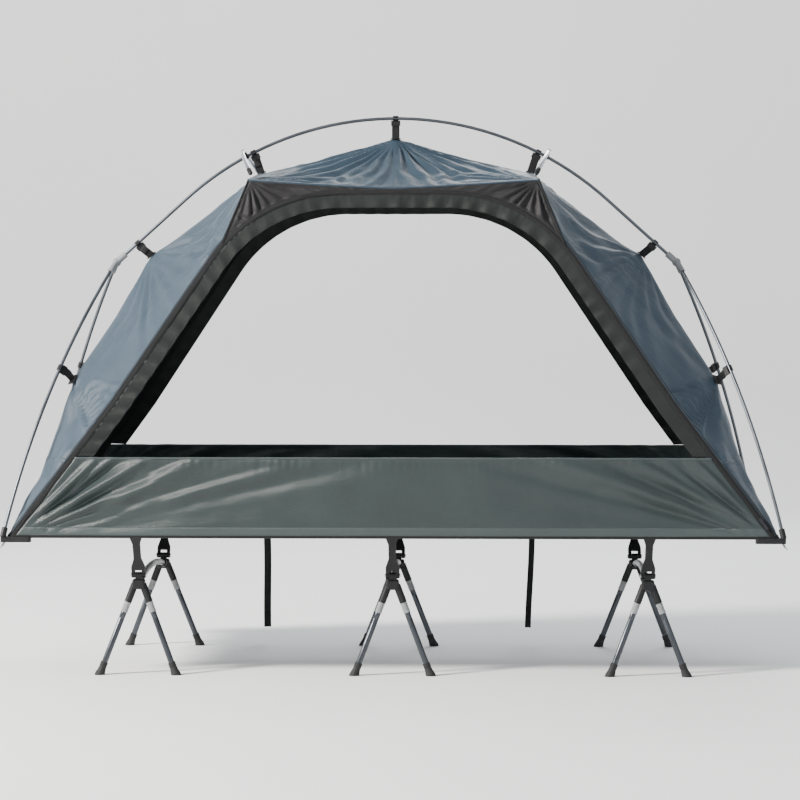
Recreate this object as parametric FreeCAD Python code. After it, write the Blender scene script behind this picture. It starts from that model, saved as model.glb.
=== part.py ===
"""Off-ground tent cot: a folding cot on three leg sets with a one-person tent on poles over it.

Frame: X along the cot, Y across it, Z up, origin on the floor under the cot's middle.
All sizes are millimetres. "near" is the -Y side, "left" is the -X end.
"""
import FreeCAD, Part
import math
import os
from FreeCAD import Vector

# ---- cot ---------------------------------------------------------------------------------
cot_length = 1870.0        # rail end to rail end
rail_spacing = 660.0       # between the two rail axes
rail_height = 362.0        # rail axis above the floor
rail_radius = 8.0
rail_wall = 1.2
rail_sections = 4          # each rail plugs together from this many tubes
ferrule_length = 90.0      # inner joint of two rail sections
ferrule_play = 0.1
sleeve_play = 0.3
sleeve_wall = 1.0          # cloth of the bed's side sleeves
sleeve_end = 38.0          # bare rail left at each end of a sleeve
bed_thickness = 2.0
notch_length = 62.0        # sleeve cut away where a lever takes hold of the rail
notch_depth = 22.0

# ---- leg sets ----------------------------------------------------------------------------
set_pitch = 640.0          # between neighbouring leg sets
hub_inset = 65.0           # hub's middle inward from the rail axis
hub_drop = 136.0           # bar axis below the rail axis
bar_radius = 8.0
bar_wall = 1.3
bar_rise = 24.0            # bow of the cross bar at its middle
bar_seat = 26.0            # length of bar held in a hub
bar_stop = 8.0             # bar's end from the hub's middle
bore_run_out = 4.0         # extra depth of a bore past the mouth it opens
hub_block = (32.0, 26.0, 26.0)
socket_wall = 3.0
pivot_rise = 23.0          # lever pivot above the hub's middle
pin_radius = 3.0
pin_head_radius = 5.0
pin_head = 2.0
pin_play = 0.05
ear_width = 16.0           # hub ear between the lever's two knuckles
knuckle_width = 9.0
knuckle_radius = 7.5
knuckle_gap = 0.4
lever_thickness = 7.0
lever_waist = 19.0
lever_head = 34.0
lever_fork = 24.0          # fork's height above the pin
lever_taper = 26.0         # length over which the arm narrows and widens
fork_web = 8.0             # arm left solid below the fork's top
cradle_sink = 1.0          # overlap of the arm into the cradle
cradle_wall = 4.0
cradle_play = 0.3
cradle_start = 40.0        # cradle arc, degrees below the outward direction
cradle_end = 130.0

# ---- legs --------------------------------------------------------------------------------
foot_spread = 96.0         # foot from the middle of its set, along X
foot_kick = 25.0           # foot outward from its hub, along Y
leg_root = 10.0            # leg axis from the hub's middle, along X, at hub height
leg_radius = 7.5
leg_wall = 1.1
spigot_radius = 6.0
spigot_play = 0.3
bar_play = 0.45
spigot_end_gap = 2.0
collar_floor = 4.0         # solid part of the collar above the tube
socket_start = 14.0        # along the leg axis from hub height
socket_depth = 34.0
collar_radius = 8.8
collar_length = 27.0
collar_gap = 0.4
foot_radius = 12.5
foot_neck_radius = 9.2
foot_length = 34.0
foot_seat = 16.0           # length of leg tube inside the foot
foot_web = 2.0

# ---- poles -------------------------------------------------------------------------------
ridge_rise = 1051.0        # ridge pole axis at its top, above the rails
ridge_bend_radius = 820.0
pole_hub_rise = 679.8      # pole hub above the rails
pole_hub_inset = 208.0     # pole hub inward from the rail's end, along X
pole_radius = 4.25
pole_wall = 0.9
pole_play = 0.2
hub_wall = 4.05
branch_hub_wall = 3.05
hub_seat = 30.0
hub_spread = 9.0           # branch sockets from the mid-plane at the pole hub
hub_fork = 4.0             # branch sockets start outward of and below the hub's middle
hub_ball = 11.5            # radius of the pole hub's core
hub_ball_shift = 2.0
ridge_stop = 8.0           # pole ends from the middle of their hub
branch_stop = 10.0
branch_end_gap = 2.0
branch_bow = (116.0, 175.0, 411.0)      # branch pole's middle point from its foot
branch_foot_out = (32.0, 20.0, -5.0)    # branch pole's foot from the rail's end
swivel_reach = 390.0       # brow strut from the middle, along X
swivel_rise = 14.0         # strut axis above the ridge pole's axis
swivel_pin_radius = 2.5
strut_half_width = 5.0
strut_half_height = 3.5
strut_tip_rise = 9.2       # strut tip above the tent's shoulder, along the swivel axis
strut_overhang = 2.4       # strut tip outside the tent's shoulder
strut_cap_seat = 6.6       # cap's end past the strut's own end
strut_cap_length = 22.0
strut_cap_wall = 1.2
saddle_length = 14.0
saddle_wall = 2.4
saddle_play = 0.1
post_radius = 6.0
strut_play = 0.3           # strut above the post, and pin head above the strut

# ---- corner fittings and tabs ------------------------------------------------------------
fitting_wall = 3.0
fitting_play = 0.05
fitting_cap = 2.0          # closed end of the fitting past the rail
fitting_length = 36.0
fitting_arm = (74.0, 28.0, 14.0)
arm_gap = 1.0              # arm below the hem
arm_overlap = 3.0          # arm outward of the branch pole's axis
cup_wall = 3.05
cup_floor = 6.0
cup_depth = 18.0
tab_width = 24.0
tab_length = 42.0
tab_thickness = 2.0
tab_drop = 50.0            # degrees below level
tab_gap = 1.0              # from the end hem
tab_inset = 13.0           # middle of the tab inward of the corner fitting's arm
tab_rise = 4.0             # above the hem

# ---- tent body ---------------------------------------------------------------------------
hem_past_end = 15.0        # side walls' hem past the rail's end
hem_clearance = 5.0        # hem outward of the corner fitting
hem_drop = 1.0             # hem below the rail's underside
wall_lean = 8.96           # degrees, side wall leaning inward
cloth = 2.5
door_foot_inset = 6.0      # door's foot from the end of the hem
door_knee_in = 244.0       # knee inward from the door's foot
door_knee_up = 331.0
door_corner = 342.0        # where the straight side would meet the top line
door_top = 870.0
door_corner_radius = 390.0
zip_width = 10.0
zip_gap = 0.3
seam_gap = 3.2             # end panel's edge from the zipper, gusset and roof it is sewn to
eave_gap = 3.0             # gusset's edge below the roof's
skirt_height = 195.0
flap_width = 33.0
flap_gap = 4.0             # flap's foot above the skirt
gusset_rise = 45.2         # gusset's lower tip above the start of the door's bend
eave_rise = 12.0           # roof edge above the door's top, at the middle
shoulder_rise = 20.0       # shoulder above the middle of the eave
shoulder_reach = 366.0     # shoulder from the middle, along X
top_seam_drop = 53.0       # cloth below the pole at the top clip
brow_seam_drop = (57.9, -6.3)    # cloth from the brow clip: below the pole, back along it
ridge_seam_drop = (47.5, 5.0)    # cloth from the pole hub's clip
branch_seam_in = (29.0, 20.0, 30.0)     # cloth from the branch pole's middle
end_past_wall = 5.0        # end panel's hem past the side walls' ends
end_inset = 6.0            # end panel's corner inward from the side wall
floor_margin = 24.0
floor_side_gap = 2.0
floor_gap = 0.5
floor_cloth = 1.5
door_roll_length = 1240.0
door_roll_width = 66.0
door_roll_height = 58.0
door_roll_gap = 6.0        # from the rail, and above the tent floor

# ---- clips, straps and zipper sliders ----------------------------------------------------
clip_wall = 2.6
clip_length = 14.0
clip_tongue = 12.0
tongue_half = 2.0
tongue_sink = 1.5
strap_start_gap = 1.2      # strap from the clip's tongue
ridge_clip_inset = 72.0    # clip from the pole hub's middle, along the pole
strap_width = 20.0
strap_thickness = 1.6
strap_end_gap = 2.6
brow_clip_offset = -22.0   # brow clip from the swivel, along the pole away from the top
slider_start = 38.0        # slider from the hem, up the side wall
slider_body = (12.0, 9.0, 4.0)
slider_gap = 0.4
pull_length = 22.0
pull_width = 7.0
pull_thickness = 1.6
pull_gap = 1.0             # pull above the slider's body
pull_post = 1.8
hang_strap_x = 364.0
hang_strap_bottom = 45.0
hang_strap_gap = 1.0       # below the rail's sleeve

X_AXIS = Vector(1, 0, 0)
Y_AXIS = Vector(0, 1, 0)
Z_AXIS = Vector(0, 0, 1)
ORIGIN = Vector(0, 0, 0)
SIDES = (("near", -1), ("far", 1))
ENDS = (("left", -1), ("right", 1))
SETS = (("left", -1), ("middle", 0), ("right", 1))
rail_y = rail_spacing / 2
rail_end = cot_length / 2
hub_y = rail_y - hub_inset
hub_height = rail_height - hub_drop
pivot_height = hub_height + pivot_rise
fitting_radius = rail_radius + fitting_wall
cup_radius = pole_radius + pole_play + cup_wall
ridge_height = rail_height + ridge_rise
ridge_reach = rail_end - pole_hub_inset
pole_hub_height = rail_height + pole_hub_rise
branch_foot = Vector(rail_end + branch_foot_out[0], -rail_y - branch_foot_out[1],
                     rail_height + branch_foot_out[2])
branch_mid = branch_foot + Vector(-branch_bow[0], branch_bow[1], branch_bow[2])
branch_seam = branch_mid - Vector(branch_seam_in[0], -branch_seam_in[1], branch_seam_in[2])
base_half_length = rail_end + hem_past_end
base_half_width = rail_y + fitting_radius + hem_clearance
hem_height = rail_height - rail_radius - hem_drop
end_base_half_length = base_half_length + end_past_wall
end_base_half_width = base_half_width - end_inset
door_foot = base_half_length - door_foot_inset
door_knee = (door_foot - door_knee_in, door_knee_up)
eave_middle = door_top + eave_rise
shoulder = (shoulder_reach, eave_middle + shoulder_rise)


# ---- helpers -----------------------------------------------------------------------------
def save(name, *solids):
    """Write one node, which may be a group of separate solids."""
    for solid in solids:
        if not solid.isValid() or solid.Volume <= 0:
            raise RuntimeError("bad solid in " + name)
    shape = solids[0] if len(solids) == 1 else Part.makeCompound(list(solids))
    shape.exportStep("parts/" + name + ".step")


def rod(start, end, radius):
    axis = end - start
    return Part.makeCylinder(radius, axis.Length, start, axis)


def pipe(start, end, radius, wall):
    return rod(start, end, radius).cut(rod(start, end, radius - wall))


def box_between(low, high):
    size = high - low
    return Part.makeBox(size.x, size.y, size.z, low)


def mirror_y(shape):
    return shape.mirror(ORIGIN, Y_AXIS)


def mirror_x(shape):
    return shape.mirror(ORIGIN, X_AXIS)


def one_solid(shape):
    """The single solid of a boolean result."""
    if len(shape.Solids) != 1:
        raise RuntimeError("expected one solid, got %d" % len(shape.Solids))
    return shape.Solids[0]


def swept_rod(edges, radius):
    """Round rod along tangent edges."""
    path = Part.Wire(edges)
    start = path.OrderedEdges[0]
    first = start.valueAt(start.FirstParameter)
    direction = start.tangentAt(start.FirstParameter)
    ring = Part.Wire([Part.makeCircle(radius, first, direction)])
    return Part.Solid(path.makePipeShell([ring], True, False))


def swept_pipe(edges, radius, wall):
    return swept_rod(edges, radius).cut(swept_rod(edges, radius - wall))


def local_frame(origin, along, up):
    """Placement whose X runs along, and whose Z is as near to up as it can be."""
    x_dir = Vector(along).normalize()
    y_dir = up.cross(x_dir).normalize()
    z_dir = x_dir.cross(y_dir)
    matrix = FreeCAD.Matrix(
        x_dir.x, y_dir.x, z_dir.x, origin.x,
        x_dir.y, y_dir.y, z_dir.y, origin.y,
        x_dir.z, y_dir.z, z_dir.z, origin.z,
        0, 0, 0, 1)
    return FreeCAD.Placement(matrix)


def placed(shape, frame):
    copy = shape.copy()
    copy.Placement = frame
    return copy


# ---- cot: rails, bed, corner fittings ----------------------------------------------------
def rail(side):
    """Four plugged tubes with their inner ferrules."""
    pieces = []
    section = cot_length / rail_sections
    for number in range(rail_sections):
        start = number * section - rail_end
        pieces.append(pipe(Vector(start, side * rail_y, rail_height),
                           Vector(start + section, side * rail_y, rail_height),
                           rail_radius, rail_wall))
    for number in range(1, rail_sections):
        middle = number * section - rail_end
        pieces.append(rod(Vector(middle - ferrule_length / 2, side * rail_y, rail_height),
                          Vector(middle + ferrule_length / 2, side * rail_y, rail_height),
                          rail_radius - rail_wall - ferrule_play))
    return pieces


def bed():
    """Sheet between the rails with a sleeve round each, cut away at the levers."""
    half = rail_end - sleeve_end
    inner = rail_radius + sleeve_play
    outer = inner + sleeve_wall
    sheet = box_between(Vector(-half, -rail_y, rail_height - bed_thickness / 2),
                        Vector(half, rail_y, rail_height + bed_thickness / 2))
    sleeves = [(Vector(-half, side * rail_y, rail_height), Vector(half, side * rail_y, rail_height))
               for _, side in SIDES]
    for left, right in sleeves:
        sheet = sheet.fuse(rod(left, right, outer))
    for left, right in sleeves:
        sheet = sheet.cut(rod(left, right, inner))
    for _, place in SETS:
        x_mid = place * set_pitch
        for _, side in SIDES:
            low_y = min(side * (rail_y - notch_depth), side * (rail_y + notch_depth))
            sheet = sheet.cut(box_between(
                Vector(x_mid - notch_length / 2, low_y, rail_height - notch_depth),
                Vector(x_mid + notch_length / 2, low_y + 2 * notch_depth, rail_height + notch_depth)))
    return one_solid(sheet)


def branch_arc():
    """Branch pole axis at the near right corner, from the pole hub to its foot cup."""
    start = Vector(ridge_reach + hub_fork, -hub_spread, pole_hub_height - hub_fork)
    return Part.Edge(Part.Arc(start, branch_mid, branch_foot))


def corner_fitting():
    """Near right: plug on the rail end, arm under the hem and cup for the branch pole."""
    plug = rod(Vector(rail_end - fitting_length, -rail_y, rail_height),
               Vector(rail_end + fitting_cap, -rail_y, rail_height), fitting_radius)
    arm_corner = Vector(branch_foot.x + cup_radius, branch_foot.y - arm_overlap, hem_height - arm_gap)
    arm = box_between(arm_corner - Vector(fitting_arm[0], 0, fitting_arm[2]),
                      arm_corner + Vector(0, fitting_arm[1], 0))
    corner_edges = [edge for edge in arm.Edges
                    if abs(edge.tangentAt(edge.FirstParameter).z) > 0.9]
    arm = arm.makeFillet(fitting_arm[1] * 0.2, corner_edges)
    arc = branch_arc()
    foot = arc.valueAt(arc.LastParameter)
    down = arc.tangentAt(arc.LastParameter)
    cup = rod(foot + down * cup_floor, foot - down * cup_depth, cup_radius)
    shape = plug.fuse([arm, cup])
    shape = shape.cut(rod(Vector(rail_end - fitting_length - bore_run_out, -rail_y, rail_height),
                          Vector(rail_end, -rail_y, rail_height), rail_radius + fitting_play))
    shape = shape.cut(rod(foot, foot - down * (cup_depth + bore_run_out), pole_radius + pole_play))
    return one_solid(shape)


def corner_tab():
    """Near right: webbing tab sewn to the end hem, hanging outward."""
    arm_inside = branch_foot.y - arm_overlap + fitting_arm[1]
    start = Vector(end_base_half_length + tab_gap, arm_inside + tab_inset - tab_width / 2,
                   hem_height + tab_rise)
    drop = math.radians(tab_drop)
    along = Vector(math.cos(drop), 0, -math.sin(drop))
    up = Vector(math.sin(drop), 0, math.cos(drop))
    plate = Part.makeBox(tab_length, tab_width, tab_thickness)
    return placed(plate, local_frame(start, along, up))


# ---- leg sets ----------------------------------------------------------------------------
def bar_arc(x_mid):
    return Part.Edge(Part.Arc(Vector(x_mid, -hub_y, hub_height),
                              Vector(x_mid, 0, hub_height + bar_rise),
                              Vector(x_mid, hub_y, hub_height)))


def bar_end(x_mid):
    """Near end of the bar's axis and the direction in which it leaves the hub."""
    arc = bar_arc(x_mid)
    return arc.valueAt(arc.FirstParameter), arc.tangentAt(arc.FirstParameter)


def cross_bar(x_mid):
    arc = bar_arc(x_mid)
    stop = bar_stop / arc.Length * (arc.LastParameter - arc.FirstParameter)
    trimmed = arc.Curve.toShape(arc.FirstParameter + stop, arc.LastParameter - stop)
    return swept_pipe([trimmed], bar_radius, bar_wall)


def leg_axis(x_mid, splay):
    """Near side: top of the leg's axis at hub height, and its direction down to the foot."""
    top = Vector(x_mid + splay * leg_root, -hub_y, hub_height)
    foot = Vector(x_mid + splay * foot_spread, -hub_y - foot_kick, 0)
    return top, (foot - top).normalize(), (foot - top).Length


def lever_lean():
    """Degrees by which a lever leans outward from upright."""
    return math.degrees(math.atan2(rail_y - hub_y, rail_height - pivot_height))


def hub(x_mid):
    """Near side hub: bar socket, two leg sockets and the ear for the lever."""
    centre = Vector(x_mid, -hub_y, hub_height)
    half = Vector(hub_block[0] / 2, hub_block[1] / 2, hub_block[2] / 2)
    body = box_between(centre - half, centre + half)
    body = body.makeFillet(hub_block[1] * 0.22, body.Edges)
    root, inward = bar_end(x_mid)
    body = body.fuse(rod(root, root + inward * (bar_stop + bar_seat),
                         bar_radius + bar_play + socket_wall))
    for splay in (-1, 1):
        top, down, _ = leg_axis(x_mid, splay)
        body = body.fuse(rod(top, top + down * (socket_start + socket_depth),
                             spigot_radius + spigot_play + socket_wall))
    pivot = Vector(x_mid, -hub_y, pivot_height)
    ear = rod(pivot - X_AXIS * (ear_width / 2), pivot + X_AXIS * (ear_width / 2), knuckle_radius)
    stem = box_between(Vector(x_mid - ear_width / 2, -hub_y - knuckle_radius, hub_height),
                       Vector(x_mid + ear_width / 2, -hub_y + knuckle_radius, pivot_height))
    body = body.fuse([ear, stem])
    body = body.cut(rod(root + inward * bar_stop, root + inward * (bar_stop + bar_seat + bore_run_out),
                        bar_radius + bar_play))
    for splay in (-1, 1):
        top, down, _ = leg_axis(x_mid, splay)
        body = body.cut(rod(top + down * socket_start,
                            top + down * (socket_start + socket_depth + bore_run_out),
                            spigot_radius + spigot_play))
    body = body.cut(rod(pivot - X_AXIS * ear_width, pivot + X_AXIS * ear_width, pin_radius))
    return one_solid(body)


def lever_pin(x_mid):
    pivot = Vector(x_mid, -hub_y, pivot_height)
    reach = ear_width / 2 + knuckle_gap + knuckle_width + knuckle_gap
    pin = rod(pivot - X_AXIS * reach, pivot + X_AXIS * reach, pin_radius)
    for way in (-1, 1):
        start = pivot + X_AXIS * (way * reach)
        pin = pin.fuse(rod(start, start + X_AXIS * (way * pin_head), pin_head_radius))
    return one_solid(pin)


def lever(x_mid):
    """Near side tension lever: forked foot on the pin, waisted arm, cradle under the rail."""
    pivot = Vector(x_mid, -hub_y, pivot_height)
    lean = lever_lean()
    length = math.hypot(rail_y - hub_y, rail_height - pivot_height)
    fork_half = ear_width / 2 + knuckle_gap
    foot_half = fork_half + knuckle_width
    waist_half = lever_waist / 2
    head_half = lever_head / 2
    top = length - rail_radius - cradle_play - cradle_sink
    right = [(foot_half, 0), (foot_half, lever_fork), (waist_half, lever_fork + lever_taper),
             (waist_half, top - lever_taper), (head_half, top)]
    outline = right + [(-x, z) for x, z in reversed(right)]
    points = [Vector(x, -lever_thickness / 2, z) for x, z in outline]
    arm = Part.Face(Part.makePolygon(points + points[:1])).extrude(Y_AXIS * lever_thickness)
    for way in (-1, 1):
        inner = Vector(way * fork_half, 0, 0)
        arm = arm.fuse(rod(inner, inner + X_AXIS * (way * knuckle_width), knuckle_radius))
    grip = Vector(0, 0, length)
    ring = rod(grip - X_AXIS * head_half, grip + X_AXIS * head_half,
               rail_radius + cradle_play + cradle_wall)
    # the arc runs from outward (-Y) downward, seen in the lever's own upright frame
    wedge = cradle_wedge(grip, head_half, cradle_start - lean, cradle_end - lean)
    arm = arm.fuse(ring.common(wedge))
    arm = arm.cut(rod(grip - X_AXIS * lever_head, grip + X_AXIS * lever_head,
                      rail_radius + cradle_play))
    fork_reach = 2 * knuckle_radius
    arm = arm.cut(box_between(Vector(-fork_half, -fork_reach, -fork_reach),
                              Vector(fork_half, fork_reach, lever_fork - fork_web)))
    arm = arm.cut(rod(X_AXIS * (-2 * foot_half), X_AXIS * (2 * foot_half), pin_radius + pin_play))
    arm = one_solid(arm.removeSplitter())
    arm.rotate(ORIGIN, X_AXIS, lean)
    arm.translate(pivot)
    return arm


def cradle_wedge(grip, half, start, end):
    """Pie-shaped block about the rail axis, angles from outward (-Y) turning downward."""
    reach = 3 * (rail_radius + cradle_wall)
    steps = [start, (start + end) / 2, end]
    rim = [grip + Vector(-half, -reach * math.cos(math.radians(a)), -reach * math.sin(math.radians(a)))
           for a in steps]
    centre = grip - X_AXIS * half
    face = Part.Face(Part.makePolygon([centre] + rim + [centre]))
    return face.extrude(X_AXIS * (2 * half))


def leg(x_mid, splay):
    """Near side leg: collar with its spigot, tube, and flared foot cut level with the floor."""
    top, down, length = leg_axis(x_mid, splay)
    seat = socket_start + socket_depth + collar_gap
    collar_end = seat + collar_length
    collar = rod(top + down * seat, top + down * collar_end, collar_radius)
    collar = collar.fuse(rod(top + down * (socket_start + spigot_end_gap), top + down * seat,
                             spigot_radius))
    collar = collar.cut(rod(top + down * (seat + collar_floor),
                            top + down * (collar_end + bore_run_out), leg_radius))
    foot_start = length - foot_length
    tube = pipe(top + down * (seat + collar_floor), top + down * (foot_start + foot_seat),
                leg_radius, leg_wall)
    start = top + down * foot_start
    neck_end = start + down * (foot_seat + foot_web)
    foot = rod(start, neck_end, foot_neck_radius)
    flare = Part.makeCone(foot_neck_radius, foot_radius, foot_length - foot_seat, neck_end, down)
    foot = foot.fuse(flare)
    foot = foot.cut(rod(start - down, start + down * foot_seat, leg_radius))
    below = Vector(4 * foot_radius, 4 * foot_radius, 4 * foot_radius)
    ground = Vector(x_mid + splay * foot_spread, -hub_y - foot_kick, 0)
    foot = foot.cut(box_between(ground - below, ground + Vector(below.x, below.y, 0)))
    return [one_solid(collar), tube, one_solid(foot)]


# ---- poles -------------------------------------------------------------------------------
def ridge_point(angle):
    """Point of the ridge pole, angle in degrees of bend from the top towards +X.

    Past the end of the bend the pole runs straight on.
    """
    turn = math.radians(min(angle, ridge_bend_half()))
    straight = ridge_bend_radius * (math.radians(angle) - turn)
    return Vector(ridge_bend_radius * math.sin(turn), 0,
                  ridge_height - ridge_bend_radius * (1 - math.cos(turn))) \
        + pole_way(angle)[0] * straight


def ridge_bend_half():
    """Degrees of bend each side of the top; from there the pole runs straight to its hub."""
    reach, rise = ridge_reach, pole_hub_height - (ridge_height - ridge_bend_radius)
    return math.degrees(math.atan2(reach, rise)
                        - math.acos(ridge_bend_radius / math.hypot(reach, rise)))


def pole_way(angle):
    """Direction of the ridge pole towards +X, and its outward normal, at an angle of its bend."""
    turn = math.radians(min(angle, ridge_bend_half()))
    return Vector(math.cos(turn), 0, -math.sin(turn)), Vector(math.sin(turn), 0, math.cos(turn))


def ridge_slope():
    return pole_way(ridge_bend_half())[0]


def pole_hub_centre():
    return Vector(ridge_reach, 0, pole_hub_height)


def brow_clip_angle():
    return math.degrees(math.asin(swivel_reach / ridge_bend_radius)
                        + brow_clip_offset / ridge_bend_radius)


def brow_seam():
    """Point where the roof, the end panel and the brow clip's strap meet."""
    along, normal = pole_way(brow_clip_angle())
    return ridge_point(brow_clip_angle()) - normal * brow_seam_drop[0] - along * brow_seam_drop[1]


def ridge_clip():
    return pole_hub_centre() - ridge_slope() * ridge_clip_inset


def ridge_seam():
    along, normal = pole_way(ridge_bend_half())
    return ridge_clip() - normal * ridge_seam_drop[0] - along * ridge_seam_drop[1]


def ridge_pole():
    bend_end = ridge_point(ridge_bend_half())
    bend_start = Vector(-bend_end.x, 0, bend_end.z)
    stop = pole_hub_centre() - ridge_slope() * ridge_stop
    left_stop = Vector(-stop.x, 0, stop.z)
    edges = [Part.LineSegment(left_stop, bend_start).toShape(),
             Part.Arc(bend_start, ridge_point(0), bend_end).toShape(),
             Part.LineSegment(bend_end, stop).toShape()]
    return swept_pipe(edges, pole_radius, pole_wall)


def pole_hub():
    """Right end: one socket up the ridge and two down the branches."""
    centre = pole_hub_centre()
    slope = ridge_slope()
    arc = branch_arc()
    root = arc.valueAt(arc.FirstParameter)
    down = arc.tangentAt(arc.FirstParameter)
    mirrored = Vector(root.x, -root.y, root.z), Vector(down.x, -down.y, down.z)
    bore = pole_radius + pole_play
    body = rod(centre - slope * hub_seat, centre, bore + hub_wall)
    for start, way in ((root, down), mirrored):
        body = body.fuse(rod(start, start + way * hub_seat, bore + branch_hub_wall))
    core = Part.makeSphere(hub_ball, centre + Vector(hub_ball_shift, 0, -hub_ball_shift))
    body = body.fuse(core)
    body = body.cut(rod(centre - slope * (hub_seat + bore_run_out), centre - slope * ridge_stop, bore))
    for start, way in ((root, down), mirrored):
        body = body.cut(rod(start + way * branch_stop, start + way * (hub_seat + bore_run_out), bore))
    return one_solid(body)


def branch_pole():
    arc = branch_arc()
    span = arc.LastParameter - arc.FirstParameter
    start = arc.FirstParameter + span * (branch_stop + branch_end_gap) / arc.Length
    trimmed = arc.Curve.toShape(start, arc.LastParameter)
    return swept_pipe([trimmed], pole_radius, pole_wall)


def swivel_frame():
    """Right strut: pole point under the swivel, outward normal and pole direction there."""
    angle = math.degrees(math.asin(swivel_reach / ridge_bend_radius))
    along, normal = pole_way(angle)
    return ridge_point(angle), normal, along


def brow_strut():
    """Right strut: bowed flat tube over the ridge pole with a cap on each tip."""
    foot, normal, along = swivel_frame()
    centre = foot + normal * swivel_rise
    corner = on_wall(*shoulder)
    half = strut_overhang - corner.y
    drop = (centre - corner).dot(normal) - strut_tip_rise
    tips = [centre - normal * drop + Vector(0, side * half, 0) for side in (-1, 1)]
    arc = Part.Edge(Part.Arc(tips[0], centre, tips[1]))
    span = (arc.LastParameter - arc.FirstParameter) / arc.Length
    cap_span, seat_span = span * strut_cap_length, span * strut_cap_seat
    strut = flat_sweep(arc.Curve.toShape(arc.FirstParameter + seat_span,
                                         arc.LastParameter - seat_span),
                       along, strut_half_width, strut_half_height)
    strut = strut.cut(rod(centre - normal * swivel_rise, centre + normal * swivel_rise,
                          swivel_pin_radius + pin_play))
    caps = []
    for first, last in ((arc.FirstParameter, arc.FirstParameter + cap_span),
                        (arc.LastParameter - cap_span, arc.LastParameter)):
        cap = flat_sweep(arc.Curve.toShape(first, last), along,
                         strut_half_width + strut_cap_wall, strut_half_height + strut_cap_wall)
        caps.append(one_solid(cap.cut(strut)))
    return [one_solid(strut)] + caps


def flat_sweep(edge, width_dir, half_width, half_height):
    """Flat tube section swept along an arc whose plane is square to width_dir."""
    start = edge.valueAt(edge.FirstParameter)
    tangent = edge.tangentAt(edge.FirstParameter)
    side = Vector(width_dir).normalize()
    rise = tangent.cross(side).normalize()
    flat = half_width - half_height
    corners = [start + side * (x * flat) + rise * (z * half_height)
               for x, z in ((-1, -1), (1, -1), (1, 1), (-1, 1))]
    ends = [start + side * half_width, start - side * half_width]
    wire = Part.Wire([Part.LineSegment(corners[0], corners[1]).toShape(),
                      Part.Arc(corners[1], ends[0], corners[2]).toShape(),
                      Part.LineSegment(corners[2], corners[3]).toShape(),
                      Part.Arc(corners[3], ends[1], corners[0]).toShape()])
    return Part.Solid(Part.Wire([edge]).makePipeShell([wire], True, False))


def strut_swivel():
    """Right: saddle on the ridge pole with the pin that the strut turns on."""
    foot, normal, along = swivel_frame()
    strut_low = swivel_rise - strut_half_height - strut_play
    strut_high = swivel_rise + strut_half_height + strut_play
    saddle = rod(foot - along * (saddle_length / 2), foot + along * (saddle_length / 2),
                 pole_radius + saddle_play + saddle_wall)
    post = rod(foot, foot + normal * strut_low, post_radius)
    pin = rod(foot, foot + normal * (strut_high + pin_head), swivel_pin_radius)
    head = rod(foot + normal * strut_high, foot + normal * (strut_high + pin_head), pin_head_radius)
    body = saddle.fuse([post, pin, head])
    body = body.cut(rod(foot - along * saddle_length, foot + along * saddle_length,
                        pole_radius + saddle_play))
    return one_solid(body)


# ---- tent body ---------------------------------------------------------------------------
wall_up = Vector(0, math.sin(math.radians(wall_lean)), math.cos(math.radians(wall_lean)))
wall_out = Vector(0, -math.cos(math.radians(wall_lean)), math.sin(math.radians(wall_lean)))


def on_wall(x, up, depth=0.0):
    """Point of the near side wall: x along it, distance up it, depth inward from its outside."""
    return Vector(x, -base_half_width, hem_height) + wall_up * up - wall_out * depth


def cross_lines(point_a, way_a, point_b, way_b):
    """Crossing of two lines in the wall, each a point and a direction."""
    det = way_a[0] * way_b[1] - way_a[1] * way_b[0]
    step = ((point_b[0] - point_a[0]) * way_b[1] - (point_b[1] - point_a[1]) * way_b[0]) / det
    return point_a[0] + way_a[0] * step, point_a[1] + way_a[1] * step


def door_points(offset):
    """Right half of the door outline, grown outward by offset: foot, knee, bend start,
    bend middle and bend end, as points in the wall."""
    foot, knee, corner = (door_foot, 0.0), door_knee, (door_corner, door_top)

    def shifted(first, second):
        way = (second[0] - first[0], second[1] - first[1])
        size = math.hypot(way[0], way[1])
        way = (way[0] / size, way[1] / size)
        return (first[0] + way[1] * offset, first[1] - way[0] * offset), way

    low_start, low_way = shifted(foot, knee)
    high_start, high_way = shifted(knee, corner)
    new_foot = cross_lines(low_start, low_way, (0, 0), (1, 0))
    new_knee = cross_lines(low_start, low_way, high_start, high_way)
    top = door_top + offset
    new_corner = cross_lines(high_start, high_way, (0, top), (1, 0))
    turn = math.atan2(high_way[1], -high_way[0])
    radius = door_corner_radius + offset
    tangent = radius * math.tan(turn / 2)
    centre = (new_corner[0] - tangent, top - radius)
    bend_start = (centre[0] + radius * math.sin(turn), centre[1] + radius * math.cos(turn))
    bend_middle = (centre[0] + radius * math.sin(turn / 2), centre[1] + radius * math.cos(turn / 2))
    bend_end = (centre[0], top)
    return new_foot, new_knee, bend_start, bend_middle, bend_end


def door_width_at(offset, up):
    """Half width of the grown door outline at a height up the wall."""
    foot, knee, bend_start, bend_middle, bend_end = door_points(offset)
    if up <= knee[1]:
        share = up / knee[1]
        return foot[0] + (knee[0] - foot[0]) * share
    if up <= bend_start[1]:
        share = (up - knee[1]) / (bend_start[1] - knee[1])
        return knee[0] + (bend_start[0] - knee[0]) * share
    radius = door_corner_radius + offset
    rise = up - (bend_end[1] - radius)
    return bend_end[0] + math.sqrt(max(radius * radius - rise * rise, 0.0))


def line(a, b):
    return Part.LineSegment(on_wall(*a), on_wall(*b)).toShape()


def arc(a, b, c):
    return Part.Arc(on_wall(*a), on_wall(*b), on_wall(*c)).toShape()


def flipped(point):
    return -point[0], point[1]


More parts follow.
